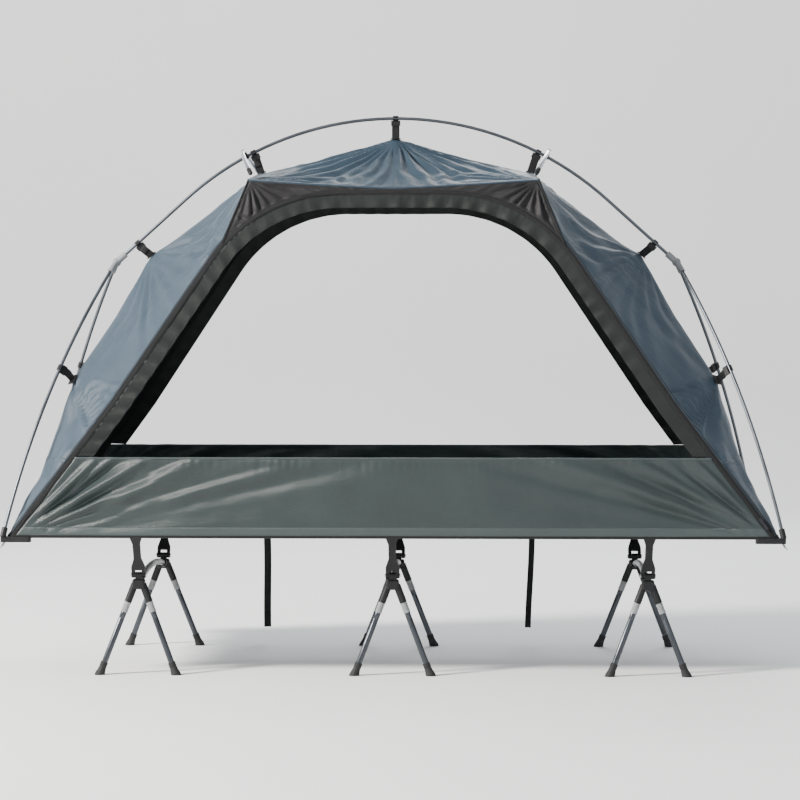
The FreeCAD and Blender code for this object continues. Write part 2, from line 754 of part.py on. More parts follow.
def thicken(edges, thickness=None):
    """Panel of cloth from its outline in the near wall."""
    face = Part.Face(Part.Wire(Part.__sortEdges__(edges)))
    return Part.Solid(Part.Shell(face.extrude(wall_out * -(thickness or cloth)).Faces))


def skirt():
    offset = -zip_width / 2 - zip_gap
    foot = door_points(offset)[0]
    top = (door_width_at(offset, skirt_height), skirt_height)
    return thicken([line(flipped(foot), foot), line(foot, top), line(top, flipped(top)),
                    line(flipped(top), flipped(foot))])


def arch_edges(foot, knee, start, middle, end):
    """Edges of a door outline, from its right foot over the top to its left foot."""
    return [line(foot, knee), line(knee, start), arc(start, middle, end),
            line(end, flipped(end)), arc(flipped(end), flipped(middle), flipped(start)),
            line(flipped(start), flipped(knee)), line(flipped(knee), flipped(foot))]


def zipper_band():
    outer = door_points(zip_width / 2)
    inner = door_points(-zip_width / 2)
    edges = [line(inner[0], outer[0]), line(flipped(outer[0]), flipped(inner[0]))]
    for outline in (outer, inner):
        edges += arch_edges(*outline)
    return thicken(edges)


def door_flap():
    """Storm flap up both sides and over the top, inside the zipper."""
    near_edge = -zip_width / 2 - zip_gap
    far_edge = near_edge - flap_width
    low = skirt_height + flap_gap
    outer_low = (door_width_at(near_edge, low), low)
    inner_low = (door_width_at(far_edge, low), low)
    edges = [line(inner_low, outer_low), line(flipped(outer_low), flipped(inner_low))]
    for low_point, offset in ((outer_low, near_edge), (inner_low, far_edge)):
        _, knee, start, middle, end = door_points(offset)
        edges += arch_edges(low_point, knee, start, middle, end)
    return thicken(edges)


def gusset_foot():
    """Distance up the wall of the gusset's lower tip."""
    return door_points(0)[2][1] + gusset_rise


def gusset():
    """Band between the door's bend and the eave, widest at the two shoulders."""
    offset = zip_width / 2 + zip_gap
    top = door_points(offset)[4]
    foot = (door_width_at(offset, gusset_foot()), gusset_foot())
    rise = (gusset_foot() + top[1]) / 2
    middle = (door_width_at(offset, rise), rise)
    eave = (0.0, eave_middle - eave_gap)
    corner = (shoulder[0] - eave_gap, shoulder[1] - eave_gap)
    return thicken([line(flipped(foot), flipped(corner)), line(flipped(corner), eave),
                    line(eave, corner), line(corner, foot), arc(foot, middle, top),
                    line(top, flipped(top)), arc(flipped(top), flipped(middle), flipped(foot))])


def thick_skin(quads, thickness):
    """Closed thin solid from outer four-sided patches, thickened inward along its normals."""
    points = []
    index = {}

    def number(point):
        key = (round(point.x, 2), round(point.y, 2), round(point.z, 2))
        if key not in index:
            index[key] = len(points)
            points.append(point)
        return index[key]

    triangles = []
    for a, b, c, d in quads:
        ids = [number(p) for p in (a, b, c, d)]
        for tri in ((ids[0], ids[1], ids[2]), (ids[0], ids[2], ids[3])):
            if len(set(tri)) == 3:
                triangles.append(tri)
    normals = [Vector(0, 0, 0) for _ in points]
    for tri in triangles:
        a, b, c = (points[i] for i in tri)
        face_normal = (b - a).cross(c - a)
        for i in tri:
            normals[i] = normals[i] + face_normal
    inner = [p - Vector(n).normalize() * thickness for p, n in zip(points, normals)]
    rim = set()
    for tri in triangles:
        for i, j in ((tri[0], tri[1]), (tri[1], tri[2]), (tri[2], tri[0])):
            if (j, i) in rim:
                rim.remove((j, i))
            else:
                rim.add((i, j))
    faces = []

    def facet(*corners):
        faces.append(Part.Face(Part.makePolygon(list(corners) + [corners[0]])))

    for i, j, k in triangles:
        facet(points[i], points[j], points[k])
        facet(inner[i], inner[k], inner[j])
    for i, j in sorted(rim):
        facet(points[i], inner[i], inner[j])
        facet(points[i], inner[j], points[j])
    solid = Part.Solid(Part.Shell(faces))
    if solid.Volume < 0:
        solid.reverse()
    return solid


def between(a, b, share):
    return a + (b - a) * share


def end_rows():
    """Right end panel: rows from hem to brow, each as near edge point and seam point."""
    offset = zip_width / 2 + seam_gap
    foot, knee, bend_start, _, _ = door_points(offset)
    gusset_tip = (door_width_at(offset, gusset_foot()), gusset_foot())
    corner = Vector(end_base_half_length, -end_base_half_width, hem_height)
    low = skirt_height
    mid = (branch_seam.z - hem_height) / wall_up.z
    high = (mid + bend_start[1]) / 2
    edge = [foot, (door_width_at(offset, low), low), knee, (door_width_at(offset, mid), mid),
            (door_width_at(offset, high), high), bend_start, gusset_tip]
    edge_points = [on_wall(*p) for p in edge]
    tip, top = edge_points[-1], on_wall(shoulder[0] + seam_gap, shoulder[1] - seam_gap)
    edge_points += [between(tip, top, 0.5), top]
    brow, ridge = brow_seam() + X_AXIS * seam_gap, ridge_seam()
    half_way = between(corner, branch_seam, 0.5)
    at_knee = between(half_way, branch_seam, (knee[1] - low) / (mid - low))
    seam = [corner, half_way, at_knee, branch_seam, between(branch_seam, ridge, 0.5),
            ridge, between(ridge, brow, 0.33), between(ridge, brow, 0.67), brow]
    return list(zip(edge_points, seam))


def end_panel():
    quads = []
    rows = []
    for edge, seam in end_rows():
        half = [edge, between(edge, seam, 0.5), seam]
        middle = Vector(seam.x, 0, seam.z)
        rows.append(half + [middle] + [Vector(p.x, -p.y, p.z) for p in reversed(half)])
    for low, high in zip(rows, rows[1:]):
        for column in range(len(low) - 1):
            quads.append((low[column], low[column + 1], high[column + 1], high[column]))
    return thick_skin(quads, cloth)


def roof():
    brow = brow_seam()
    ridge = [Vector(-brow.x, 0, brow.z), Vector(0, 0, ridge_height - top_seam_drop), brow]
    near = [on_wall(-shoulder[0], shoulder[1]), on_wall(0, eave_middle), on_wall(*shoulder)]
    far = [Vector(p.x, -p.y, p.z) for p in near]
    quads = []
    for low, high in ((near, ridge), (ridge, far)):
        for column in (0, 1):
            quad = [low[column], low[column + 1], high[column + 1], high[column]]
            # the fold of each patch runs from the roof's top to the shoulder
            if (low is near) == (column == 0):
                quad = quad[1:] + quad[:1]
            quads.append(tuple(quad))
    return thick_skin(quads, cloth)


def tent_floor():
    base = rail_height + bed_thickness / 2 + floor_gap
    half_x = rail_end - floor_margin
    half_y = rail_y - rail_radius - sleeve_play - sleeve_wall - floor_side_gap
    return box_between(Vector(-half_x, -half_y, base), Vector(half_x, half_y, base + floor_cloth))


def door_roll():
    """Near side door cloth, unzipped and bunched on the floor behind the skirt."""
    base = rail_height + bed_thickness / 2 + floor_gap + floor_cloth + floor_gap
    outer = rail_y - rail_radius - door_roll_gap - wall_up.y * door_roll_height
    low = Vector(-door_roll_length / 2, -outer, base)
    shape = Part.makeBox(door_roll_length, door_roll_width, door_roll_height, low)
    long_edges = [edge for edge in shape.Edges
                  if abs(edge.tangentAt(edge.FirstParameter).x) > 0.9]
    return shape.makeFillet(door_roll_height * 0.36, long_edges)


# ---- clips, straps, sliders --------------------------------------------------------------
def clip_places():
    """Right half and middle: pole point, pole direction and cloth point of each clip."""
    angle = brow_clip_angle()
    edge = branch_arc()
    return [(ridge_point(0), X_AXIS, ridge_point(0) - Z_AXIS * top_seam_drop),
            (ridge_point(angle), pole_way(angle)[0], brow_seam()),
            (ridge_clip(), ridge_slope(), ridge_seam()),
            (branch_mid, edge.tangentAt(edge.Curve.parameter(branch_mid)), branch_seam)]


def clip_and_strap(pole_point, along, cloth_point):
    """Hook round the pole with a tongue, and the webbing from it to the cloth."""
    reach = cloth_point - pole_point
    square = reach - along * reach.dot(along)
    frame = local_frame(pole_point, along, square)
    outer = pole_radius + pole_play + clip_wall
    hook = Part.makeCylinder(outer, clip_length, Vector(-clip_length / 2, 0, 0), X_AXIS)
    tongue = box_between(Vector(-strap_width * 0.6, -tongue_half, outer - tongue_sink),
                         Vector(strap_width * 0.6, tongue_half, outer + clip_tongue))
    hook = hook.fuse(tongue)
    hook = hook.cut(Part.makeCylinder(pole_radius + pole_play, clip_length * 2,
                                      Vector(-clip_length, 0, 0), X_AXIS))
    mouth = box_between(Vector(-clip_length, 0, -pole_radius * 0.7),
                        Vector(clip_length, outer * 2, pole_radius * 0.5))
    hook = one_solid(hook.cut(mouth))
    start = outer + clip_tongue + strap_start_gap
    root = pole_point + Vector(square).normalize() * start
    way = cloth_point - root
    strap = box_between(Vector(-strap_width, -strap_width / 2, -strap_thickness / 2),
                        Vector(way.Length - strap_end_gap, strap_width / 2, strap_thickness / 2))
    strap_frame = local_frame(root, way, along.cross(way))
    behind = box_between(Vector(-strap_width * 2, -strap_width * 2, -strap_width * 2),
                         Vector(strap_width * 2, strap_width * 2, start))
    return placed(hook, frame), placed(strap, strap_frame).cut(placed(behind, frame))


def slider_way():
    """Unit direction of the zipper's lower right stretch, from the hem upward."""
    size = math.hypot(door_knee[0] - door_foot, door_knee[1])
    return (door_knee[0] - door_foot) / size, door_knee[1] / size


def zipper_slider():
    """Near side: body on the tape's outside with a hanging pull."""
    way = slider_way()
    along = X_AXIS * way[0] + wall_up * way[1]
    share = slider_start / way[1]
    root = on_wall(door_foot + way[0] * share, slider_start)
    length, width, height = slider_body
    body = box_between(Vector(0, -width / 2, slider_gap), Vector(length, width / 2, slider_gap + height))
    body = body.makeFillet(width * 0.15, [e for e in body.Edges if abs(e.tangentAt(e.FirstParameter).z) > 0.9])
    pull_low = slider_gap + height + pull_gap
    post = rod(Vector(length * 0.3, 0, slider_gap + height / 2),
               Vector(length * 0.3, 0, pull_low + pull_thickness), pull_post)
    pull = box_between(Vector(-pull_length, -pull_width / 2, pull_low),
                       Vector(length * 0.5, pull_width / 2, pull_low + pull_thickness))
    body = one_solid(body.fuse([post, pull]))
    return placed(body, local_frame(root, along, wall_out))


def hanging_strap(way):
    """Far side webbing tail that hangs from the rail sleeve."""
    top = rail_height - rail_radius - sleeve_wall - hang_strap_gap
    middle = way * hang_strap_x
    return box_between(Vector(middle - strap_width / 2, rail_y, hang_strap_bottom),
                       Vector(middle + strap_width / 2, rail_y + strap_thickness, top))


# ---- write the nodes ---------------------------------------------------------------------
def write_cot():
    for side_name, side in SIDES:
        save("rail_" + side_name, *rail(side))
    save("bed_fabric", bed())
    fitting, tab = corner_fitting(), corner_tab()
    save("corner_fittings", fitting, mirror_x(fitting), mirror_y(fitting), mirror_x(mirror_y(fitting)))
    save("corner_tabs", tab, mirror_x(tab), mirror_y(tab), mirror_x(mirror_y(tab)))
    save("hanging_straps", hanging_strap(-1), hanging_strap(1))


def write_leg_sets():
    pins = []
    for set_name, place in SETS:
        x_mid = place * set_pitch
        save("cross_bar_" + set_name, cross_bar(x_mid))
        for side_name, side in SIDES:
            turn = mirror_y if side > 0 else (lambda shape: shape)
            ending = side_name + "_" + set_name
            save("hub_" + ending, turn(hub(x_mid)))
            save("lever_" + ending, turn(lever(x_mid)))
            pins.append(turn(lever_pin(x_mid)))
            for splay, splay_name in ((-1, "a"), (1, "b")):
                save("leg_" + ending + "_" + splay_name,
                     *[turn(piece) for piece in leg(x_mid, splay)])
    save("lever_pins", *pins)


def write_poles():
    save("ridge_pole", ridge_pole())
    strut = brow_strut()
    swivel = strut_swivel()
    for end_name, end in ENDS:
        turn = mirror_x if end < 0 else (lambda shape: shape)
        save("pole_hub_" + end_name, turn(pole_hub()))
        save("branch_pole_near_" + end_name, turn(branch_pole()))
        save("branch_pole_far_" + end_name, turn(mirror_y(branch_pole())))
        save("brow_strut_" + end_name, *[turn(piece) for piece in strut])
    save("strut_swivels", swivel, mirror_x(swivel))
    clips, straps = [], []
    for number, place in enumerate(clip_places()):
        clip, strap = clip_and_strap(*place)
        copies = [(clip, strap)]
        if number > 0:
            copies += [(mirror_x(clip), mirror_x(strap))]
        if number == 3:
            copies += [(mirror_y(c), mirror_y(s)) for c, s in list(copies)]
        clips += [c for c, _ in copies]
        straps += [s for _, s in copies]
    save("pole_clips", *clips)
    save("clip_straps", *straps)


def write_tent():
    save("roof_panel", roof())
    panel = end_panel()
    save("end_panel_right", panel)
    save("end_panel_left", mirror_x(panel))
    save("tent_floor", tent_floor())
    for side_name, side in SIDES:
        turn = mirror_y if side > 0 else (lambda shape: shape)
        save("skirt_" + side_name, turn(skirt()))
        save("gusset_" + side_name, turn(gusset()))
        save("zipper_" + side_name, turn(zipper_band()), turn(door_flap()))
        save("zipper_slider_" + side_name, turn(zipper_slider()))
        save("door_" + side_name, turn(door_roll()))


os.makedirs("parts", exist_ok=True)
write_cot()
write_leg_sets()
write_poles()
write_tent()
print("nodes", len(os.listdir("parts")))
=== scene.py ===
"""Looks of the folding tent cot: cloth, webbing, zippers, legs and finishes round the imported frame.

Metres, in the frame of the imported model: X along the cot, Y across it, Z up, origin on the floor.
"""
import math

import bpy
import numpy as np
from mathutils import Matrix, Vector


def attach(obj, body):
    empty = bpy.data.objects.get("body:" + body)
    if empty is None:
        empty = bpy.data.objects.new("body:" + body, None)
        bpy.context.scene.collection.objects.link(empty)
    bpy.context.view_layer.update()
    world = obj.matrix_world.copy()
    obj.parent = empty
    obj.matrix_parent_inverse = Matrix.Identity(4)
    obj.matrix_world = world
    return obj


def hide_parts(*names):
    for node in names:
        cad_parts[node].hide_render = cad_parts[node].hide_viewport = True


bl_info = {
    "name": "Folding tent cot",
    "version": (1, 0, 0),
    "blender": (4, 5, 0),
    "location": "View3D > Sidebar > Tent cot",
    "description": "Makes the cloth, webbing, zippers, legs and finishes of a folding tent cot",
    "category": "Object",
}

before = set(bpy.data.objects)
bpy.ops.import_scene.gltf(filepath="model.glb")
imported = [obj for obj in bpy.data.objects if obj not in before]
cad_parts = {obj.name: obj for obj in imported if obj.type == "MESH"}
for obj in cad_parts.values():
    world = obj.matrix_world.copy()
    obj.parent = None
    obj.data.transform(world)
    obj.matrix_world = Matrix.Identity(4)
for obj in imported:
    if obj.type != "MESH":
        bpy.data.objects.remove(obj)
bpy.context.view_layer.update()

MM = 0.001
ROOT = "frame"
SIDES = (("near", -1), ("far", 1))
ENDS = (("left", -1), ("right", 1))
SETS = (("left", -1), ("middle", 0), ("right", 1))

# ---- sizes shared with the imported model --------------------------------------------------
RAIL_Y, RAIL_Z, RAIL_R, RAIL_END = 0.330, 0.362, 0.008, 0.935
SET_PITCH, HUB_Y, HUB_Z = 0.640, 0.265, 0.226
NOTCH_HALF, NOTCH_DEPTH = 0.031, 0.022
HEM_Z, WALL_Y, LEAN = 0.353, 0.346, math.radians(8.96)
DOOR_FOOT, DOOR_KNEE, DOOR_CORNER = 0.944, (0.700, 0.331), 0.342
DOOR_TOP, DOOR_BEND = 0.870, 0.390
ZIP_HALF, FLAP_WIDTH, SKIRT_TOP = 0.005, 0.033, 0.195
SHOULDER, EAVE, ROOF_TOP = (0.366, 0.902), 0.882, 1.360
END_X, END_Y = 0.955, 0.340
RIDGE_TOP, RIDGE_R, HUB_X, POLE_HUB_Z = 1.413, 0.820, 0.727, 1.0418
BRANCH_FOOT, BRANCH_MID = (0.967, 0.350, 0.357), (0.851, 0.175, 0.768)
BRANCH_SEAM = (0.822, 0.155, 0.738)
SWIVEL_X, SWIVEL_RISE = 0.390, 0.014
STRUT_TIP_RISE, STRUT_OVERHANG = 0.0092, 0.0024
GUSSET_RISE, SEAM_GAP = 0.0452, 0.0032
BROW_CLIP_BACK, RIDGE_CLIP_INSET = 0.022, 0.072      # clips, along the pole
BROW_SEAM_IN, BROW_SEAM_ALONG = 0.0579, 0.0063       # cloth from its clip
RIDGE_SEAM_IN, RIDGE_SEAM_ALONG = 0.0475, 0.005
POLE_FORK = (0.004, -0.009, -0.004)                  # branch socket from the pole hub's middle
LEG_ROOT, FOOT_SPREAD, FOOT_Y, FOOT_LENGTH = 0.010, 0.096, 0.290, 0.034
TUBE_SEAT = 0.0484                                   # leg's collar, along the leg from hub height
FLOOR_Z, BUNDLE_Z = 0.3646, 0.3668                   # tent floor's top, door bundles' underside


# ---- settings a user would change --------------------------------------------------------
def colour(name, text, value):
    return bpy.props.FloatVectorProperty(name=name, description=text, default=value, size=3,
                                         subtype="COLOR", min=0.0, max=1.0)


def length(name, text, value, high=0.1):
    return bpy.props.FloatProperty(name=name, description=text, default=value, min=0.0,
                                   max=high, unit="LENGTH", precision=5)


class CotColours(bpy.types.PropertyGroup):
    roof: colour("Roof", "Cloth of the roof panel", (0.018, 0.036, 0.056))
    end: colour("Ends", "Cloth of the end panels", (0.028, 0.048, 0.070))
    skirt: colour("Skirts", "Cloth of the skirts under the doors", (0.021, 0.031, 0.030))
    gusset: colour("Gussets", "Cloth between the doors and the roof", (0.013, 0.012, 0.013))
    inner: colour("Inner cloth", "Storm flaps, bunched doors and floor", (0.010, 0.0125, 0.0115))
    webbing: colour("Webbing", "Straps on the poles", (0.010, 0.010, 0.011))
    tab: colour("Tabs", "Webbing tabs at the corners", (0.280, 0.300, 0.310))
    tube: colour("Tubes", "Anodised rails, bars and poles", (0.055, 0.060, 0.068))
    strut: colour("Brow struts", "Clear anodised struts", (0.62, 0.63, 0.65))


class CotCloth(bpy.types.PropertyGroup):
    weave: length("Weave", "Distance between two threads of the cloth", 0.0007, 0.01)
    fold: length("Fold depth", "Depth of the deepest tension folds", 0.0080, 0.02)
    pucker: length("Pucker", "Depth of the gathers along sewn seams", 0.0011, 0.01)
    thickness: length("Thickness", "Thickness of the tent's cloth", 0.0008, 0.003)
    stitch_pitch: length("Stitch pitch", "From one stitch to the next", 0.0060, 0.02)
    tooth_pitch: length("Tooth pitch", "From one zipper tooth to the next", 0.0022, 0.01)


# ---- numbers -----------------------------------------------------------------------------
class Grain:
    """Smooth seeded noise on a repeating table, from -1 to 1."""

    def __init__(self, seed):
        self.table = np.random.RandomState(seed).uniform(-1, 1, (64, 64))

    def at(self, x, y=0.0):
        x, y = np.broadcast_arrays(np.asarray(x, float), np.asarray(y, float))
        ix, iy = np.floor(x).astype(int), np.floor(y).astype(int)
        fx, fy = x - ix, y - iy
        fx, fy = fx * fx * (3 - 2 * fx), fy * fy * (3 - 2 * fy)
        pick = lambda a, b: self.table[(ix + a) % 64, (iy + b) % 64]
        low = pick(0, 0) * (1 - fx) + pick(1, 0) * fx
        high = pick(0, 1) * (1 - fx) + pick(1, 1) * fx
        return low * (1 - fy) + high * fy

    def rough(self, x, y=0.0, octaves=3):
        total, size = 0.0, 1.0
        for _ in range(octaves):
            total = total + self.at(np.asarray(x) / size, np.asarray(y) / size) * size
            size *= 0.5
        return total / 1.75


def smooth(low, high, value):
    share = np.clip((value - low) / (high - low), 0, 1)
    return share * share * (3 - 2 * share)


def wall(x, up, side=-1, out=0.0):
    """Point of a side wall: x along it, distance up it, distance outward from it."""
    x, up, out = np.broadcast_arrays(np.asarray(x, float), up, out)
    y = WALL_Y - up * math.sin(LEAN) + out * math.cos(LEAN)
    z = HEM_Z + up * math.cos(LEAN) + out * math.sin(LEAN)
    return np.stack([x, side * y, z], -1)


def resample(points, count):
    """Points spaced evenly along a broken line."""
    points = np.asarray(points, float)
    steps = np.linalg.norm(np.diff(points, axis=0), axis=1)
    along = np.concatenate([[0], np.cumsum(steps)])
    spots = np.linspace(0, along[-1], count)
    return np.stack([np.interp(spots, along, points[:, k]) for k in range(points.shape[1])], -1)


def run_length(points):
    return float(np.linalg.norm(np.diff(np.asarray(points, float), axis=0), axis=1).sum())


def crossing(a, way_a, b, way_b):
    det = way_a[0] * way_b[1] - way_a[1] * way_b[0]
    step = ((b[0] - a[0]) * way_b[1] - (b[1] - a[1]) * way_b[0]) / det
    return a[0] + way_a[0] * step, a[1] + way_a[1] * step


def door_half(offset):
    """Right half of the door's outline in the wall, grown by offset: foot to middle of the top."""
    def shifted(first, second):
        way = np.subtract(second, first)
        way = way / np.linalg.norm(way)
        return (first[0] + way[1] * offset, first[1] - way[0] * offset), way

    low, low_way = shifted((DOOR_FOOT, 0.0), DOOR_KNEE)
    high, high_way = shifted(DOOR_KNEE, (DOOR_CORNER, DOOR_TOP))
    foot = crossing(low, low_way, (0, 0), (1, 0))
    knee = crossing(low, low_way, high, high_way)
    top = DOOR_TOP + offset
    corner = crossing(high, high_way, (0, top), (1, 0))
    turn = math.atan2(high_way[1], -high_way[0])
    radius = DOOR_BEND + offset
    centre = corner[0] - radius * math.tan(turn / 2), top - radius
    bend = [(centre[0] + radius * math.sin(a), centre[1] + radius * math.cos(a))
            for a in np.linspace(turn, 0, 24)]
    return np.array([foot, knee] + bend + [(0.0, top)])


def door_width(offset, up):
    """Half width of the outline at a height up the wall."""
    half = door_half(offset)
    return np.interp(up, half[:-1, 1], half[:-1, 0])


def door_outline(offset, count, low=0.0):
    """Whole outline from the right foot over the top to the left foot, evenly spaced."""
    half = door_half(offset)
    if low > 0:
        half = np.concatenate([[(door_width(offset, low), low)], half[half[:, 1] > low]])
    left = half[::-1][1:] * (-1, 1)
    return resample(np.concatenate([half, left]), count)


# ---- meshes ------------------------------------------------------------------------------
def mesh_object(name, vertices, faces, uvs=None):
    mesh = bpy.data.meshes.new(name)
    mesh.from_pydata([tuple(v) for v in vertices], [], [tuple(int(i) for i in f) for f in faces])
    if uvs is not None:
        layer = mesh.uv_layers.new(name="cloth")
        spots = np.zeros(len(mesh.loops), int)
        mesh.loops.foreach_get("vertex_index", spots)
        layer.data.foreach_set("uv", np.asarray(uvs, np.float32)[spots].ravel())
    mesh.polygons.foreach_set("use_smooth", [True] * len(mesh.polygons))
    mesh.update()
    thing = bpy.data.objects.new(name, mesh)
    bpy.context.scene.collection.objects.link(thing)
    return thing


def grid_faces(rows, columns, around=False):
    r, c = np.meshgrid(np.arange(rows - 1), np.arange(columns if around else columns - 1),
                       indexing="ij")
    after = (c + 1) % columns
    return np.stack([r * columns + c, r * columns + after, (r + 1) * columns + after,
                     (r + 1) * columns + c], -1).reshape(-1, 4)


def grid_normals(points):
    normal = np.cross(np.gradient(points, axis=0), np.gradient(points, axis=1))
    return normal / np.maximum(np.linalg.norm(normal, axis=-1, keepdims=True), 1e-12)


def outward(points, hint):
    """Grid normals, turned to the side of hint."""
    normal = grid_normals(points)
    flip = float((normal.reshape(-1, 3) @ np.asarray(hint, float)).sum()) < 0
    return (-normal if flip else normal), flip


def cloth(name, points, hint, material, thickness=None, drop=None):
    """Sheet of cloth over a grid of points, with its weave laid out in metres."""
    rows, columns = points.shape[:2]
    across = np.linalg.norm(np.diff(points, axis=1), axis=2).mean(0)
    up = np.linalg.norm(np.diff(points, axis=0), axis=2).mean(1)
    u, v = np.meshgrid(np.concatenate([[0], np.cumsum(across)]),
                       np.concatenate([[0], np.cumsum(up)]))
    faces = grid_faces(rows, columns)
    if drop is not None:
        faces = faces[~drop.reshape(-1)]
    if outward(points, hint)[1]:
        faces = faces[:, ::-1]
    flat = points.reshape(-1, 3)
    used = np.unique(faces)
    number = np.full(len(flat), -1)
    number[used] = np.arange(len(used))
    uvs = np.stack([u.reshape(-1), v.reshape(-1)], -1)[used]
    thing = mesh_object(name, flat[used], number[faces], uvs)
    thing.data.materials.append(material)
    solid = thing.modifiers.new("thickness", "SOLIDIFY")
    solid.thickness = thickness or bpy.context.scene.cot_cloth.thickness
    solid.offset = -1
    return thing


def section_frames(path, width_way):
    """Tangent, side and rise of a flat strip at each point of its path."""
    tangent = np.gradient(path, axis=0)
    tangent /= np.linalg.norm(tangent, axis=1, keepdims=True)
    side = np.broadcast_to(np.asarray(width_way, float), path.shape)
    side = side - tangent * (side * tangent).sum(1, keepdims=True)
    side = side / np.linalg.norm(side, axis=1, keepdims=True)
    return tangent, side, np.cross(tangent, side)


def sweep(name, path, width_way, section, material, closed_ends=True, scales=None):
    """Closed section, given as side and rise offsets, carried along a path."""
    path, section = np.asarray(path, float), np.asarray(section, float)
    _, side, rise = section_frames(path, width_way)
    scale = np.ones((len(path), 2)) if scales is None else np.asarray(scales, float)
    points = (path[:, None] + side[:, None] * (section[None, :, 0] * scale[:, 0, None])[..., None]
              + rise[:, None] * (section[None, :, 1] * scale[:, 1, None])[..., None])
    rows, columns = points.shape[:2]
    faces = [tuple(f) for f in grid_faces(rows, columns, around=True)]
    if closed_ends:
        faces.append(tuple(range(columns))[::-1])
        faces.append(tuple(range((rows - 1) * columns, rows * columns)))
    along = np.concatenate([[0], np.cumsum(np.linalg.norm(np.diff(path, axis=0), axis=1))])
    uvs = np.stack([np.tile(section[:, 0], rows), np.repeat(along, columns)], -1)
    thing = mesh_object(name, points.reshape(-1, 3), faces, uvs)
    thing.data.materials.append(material)
    face_outward(thing)
    return thing


def face_outward(thing):
    """Turn a closed mesh so that its faces point out of it."""
    import bmesh
    work = bmesh.new()
    work.from_mesh(thing.data)
    bmesh.ops.recalc_face_normals(work, faces=work.faces)
    if work.calc_volume(signed=True) < 0:
        bmesh.ops.reverse_faces(work, faces=work.faces)
    work.to_mesh(thing.data)
    work.free()


def round_section(radius, count=12):
    turns = np.arange(count) * 2 * math.pi / count
    return np.stack([np.cos(turns), np.sin(turns)], -1) * radius


def band_section(width, height, count=3):
    """Flat section with half-round edges."""
    edge, radius = width / 2 - height / 2, height / 2
    turns = np.linspace(-math.pi / 2, math.pi / 2, count + 2)
    right = np.stack([edge + radius * np.cos(turns), radius * np.sin(turns)], -1)
    return np.concatenate([right, -right])


def lathe(name, profile, start, way, material, count=28, above_floor=False):
    """Turned piece: profile of (distance along, radius) from start in the direction way."""
    import bmesh
    way = Vector(way).normalized()
    side = way.orthogonal().normalized()
    other = way.cross(side)
    start = Vector(start)
    points = []
    for along, radius in profile:
        for k in range(count):
            turn = 2 * math.pi * k / count
            points.append(start + way * along
                          + (side * math.cos(turn) + other * math.sin(turn)) * radius)
    faces = [tuple(f) for f in grid_faces(len(profile), count, around=True)]
    faces += [tuple(range(count))[::-1], tuple(range(len(points) - count, len(points)))]
    thing = mesh_object(name, points, faces)
    thing.data.materials.append(material)
    if above_floor:
        work = bmesh.new()
        work.from_mesh(thing.data)
        cut = bmesh.ops.bisect_plane(work, geom=work.verts[:] + work.edges[:] + work.faces[:],
                                     plane_co=(0, 0, 0), plane_no=(0, 0, -1), clear_outer=True)
        rim = [e for e in cut["geom_cut"] if isinstance(e, bmesh.types.BMEdge)]
        bmesh.ops.contextual_create(work, geom=rim)
        work.to_mesh(thing.data)
        work.free()
    face_outward(thing)
    sharpen(thing)
    return thing


def sharpen(thing, degrees=35):
    thing.data.set_sharp_from_angle(angle=math.radians(degrees))


def joined(name, things):
    """One object from several, which are at the origin and unturned."""
    with bpy.context.temp_override(active_object=things[0], object=things[0],
                                   selected_objects=things, selected_editable_objects=things):
        bpy.ops.object.join()
    things[0].name = name
    things[0].data.name = name
    return things[0]


# ---- materials ---------------------------------------------------------------------------
class Shader:
    """A node tree built one node at a time."""

    def __init__(self, name, **sockets):
        self.material = bpy.data.materials.new(name)
        self.material.use_nodes = True
        self.tree = self.material.node_tree
        self.shader = self.tree.nodes["Principled BSDF"]
        for key, value in sockets.items():
            self.shader.inputs[key.replace("_", " ")].default_value = value

    def node(self, kind, inputs=(), **settings):
        node = self.tree.nodes.new(kind)
        for key, value in settings.items():
            setattr(node, key, value)
        for key, value in dict(inputs).items():
            if isinstance(value, bpy.types.NodeSocket):
                self.tree.links.new(value, node.inputs[key])
            else:
                node.inputs[key].default_value = value
        return node

    def math(self, operation, a, b=0.0):
        return self.node("ShaderNodeMath", {0: a, 1: b}, operation=operation).outputs[0]

    def noise(self, where, scale, detail=3.0, rough=0.55):
        return self.node("ShaderNodeTexNoise", {"Vector": where, "Scale": scale, "Detail": detail,
                                                "Roughness": rough}).outputs["Fac"]

    def stretch(self, where, scale, turn=(0, 0, 0)):
        return self.node("ShaderNodeMapping", {"Vector": where, "Scale": scale,
                                               "Rotation": turn}).outputs[0]

    def ramp(self, value, low, high, first, last):
        return self.node("ShaderNodeMapRange", {"Value": value, "From Min": low, "From Max": high,
                                                "To Min": first, "To Max": last}).outputs[0]

    def shade(self, base, factor):
        """Base colour darkened or lightened by a factor socket about one."""
        scaled = self.node("ShaderNodeVectorMath", {0: tuple(base), 3: factor}, operation="SCALE")
        self.tree.links.new(scaled.outputs[0], self.shader.inputs["Base Color"])

    def bump(self, height, distance, strength=1.0, normal=None):
        inputs = {"Height": height, "Distance": distance, "Strength": strength}
        if normal is not None:
            inputs["Normal"] = normal
        return self.node("ShaderNodeBump", inputs).outputs[0]

    def finish(self, normal=None, roughness=None):
        if normal is not None:
            self.tree.links.new(normal, self.shader.inputs["Normal"])
        if roughness is not None:
            self.tree.links.new(roughness, self.shader.inputs["Roughness"])
        return self.material

    def coordinates(self, kind):
        return self.node("ShaderNodeTexCoord").outputs[kind]


MADE = {}


def once(make):
    """A material is made the first time it is asked for."""
    def get():
        if make.__name__ not in MADE:
            MADE[make.__name__] = make()
        return MADE[make.__name__]
    return get


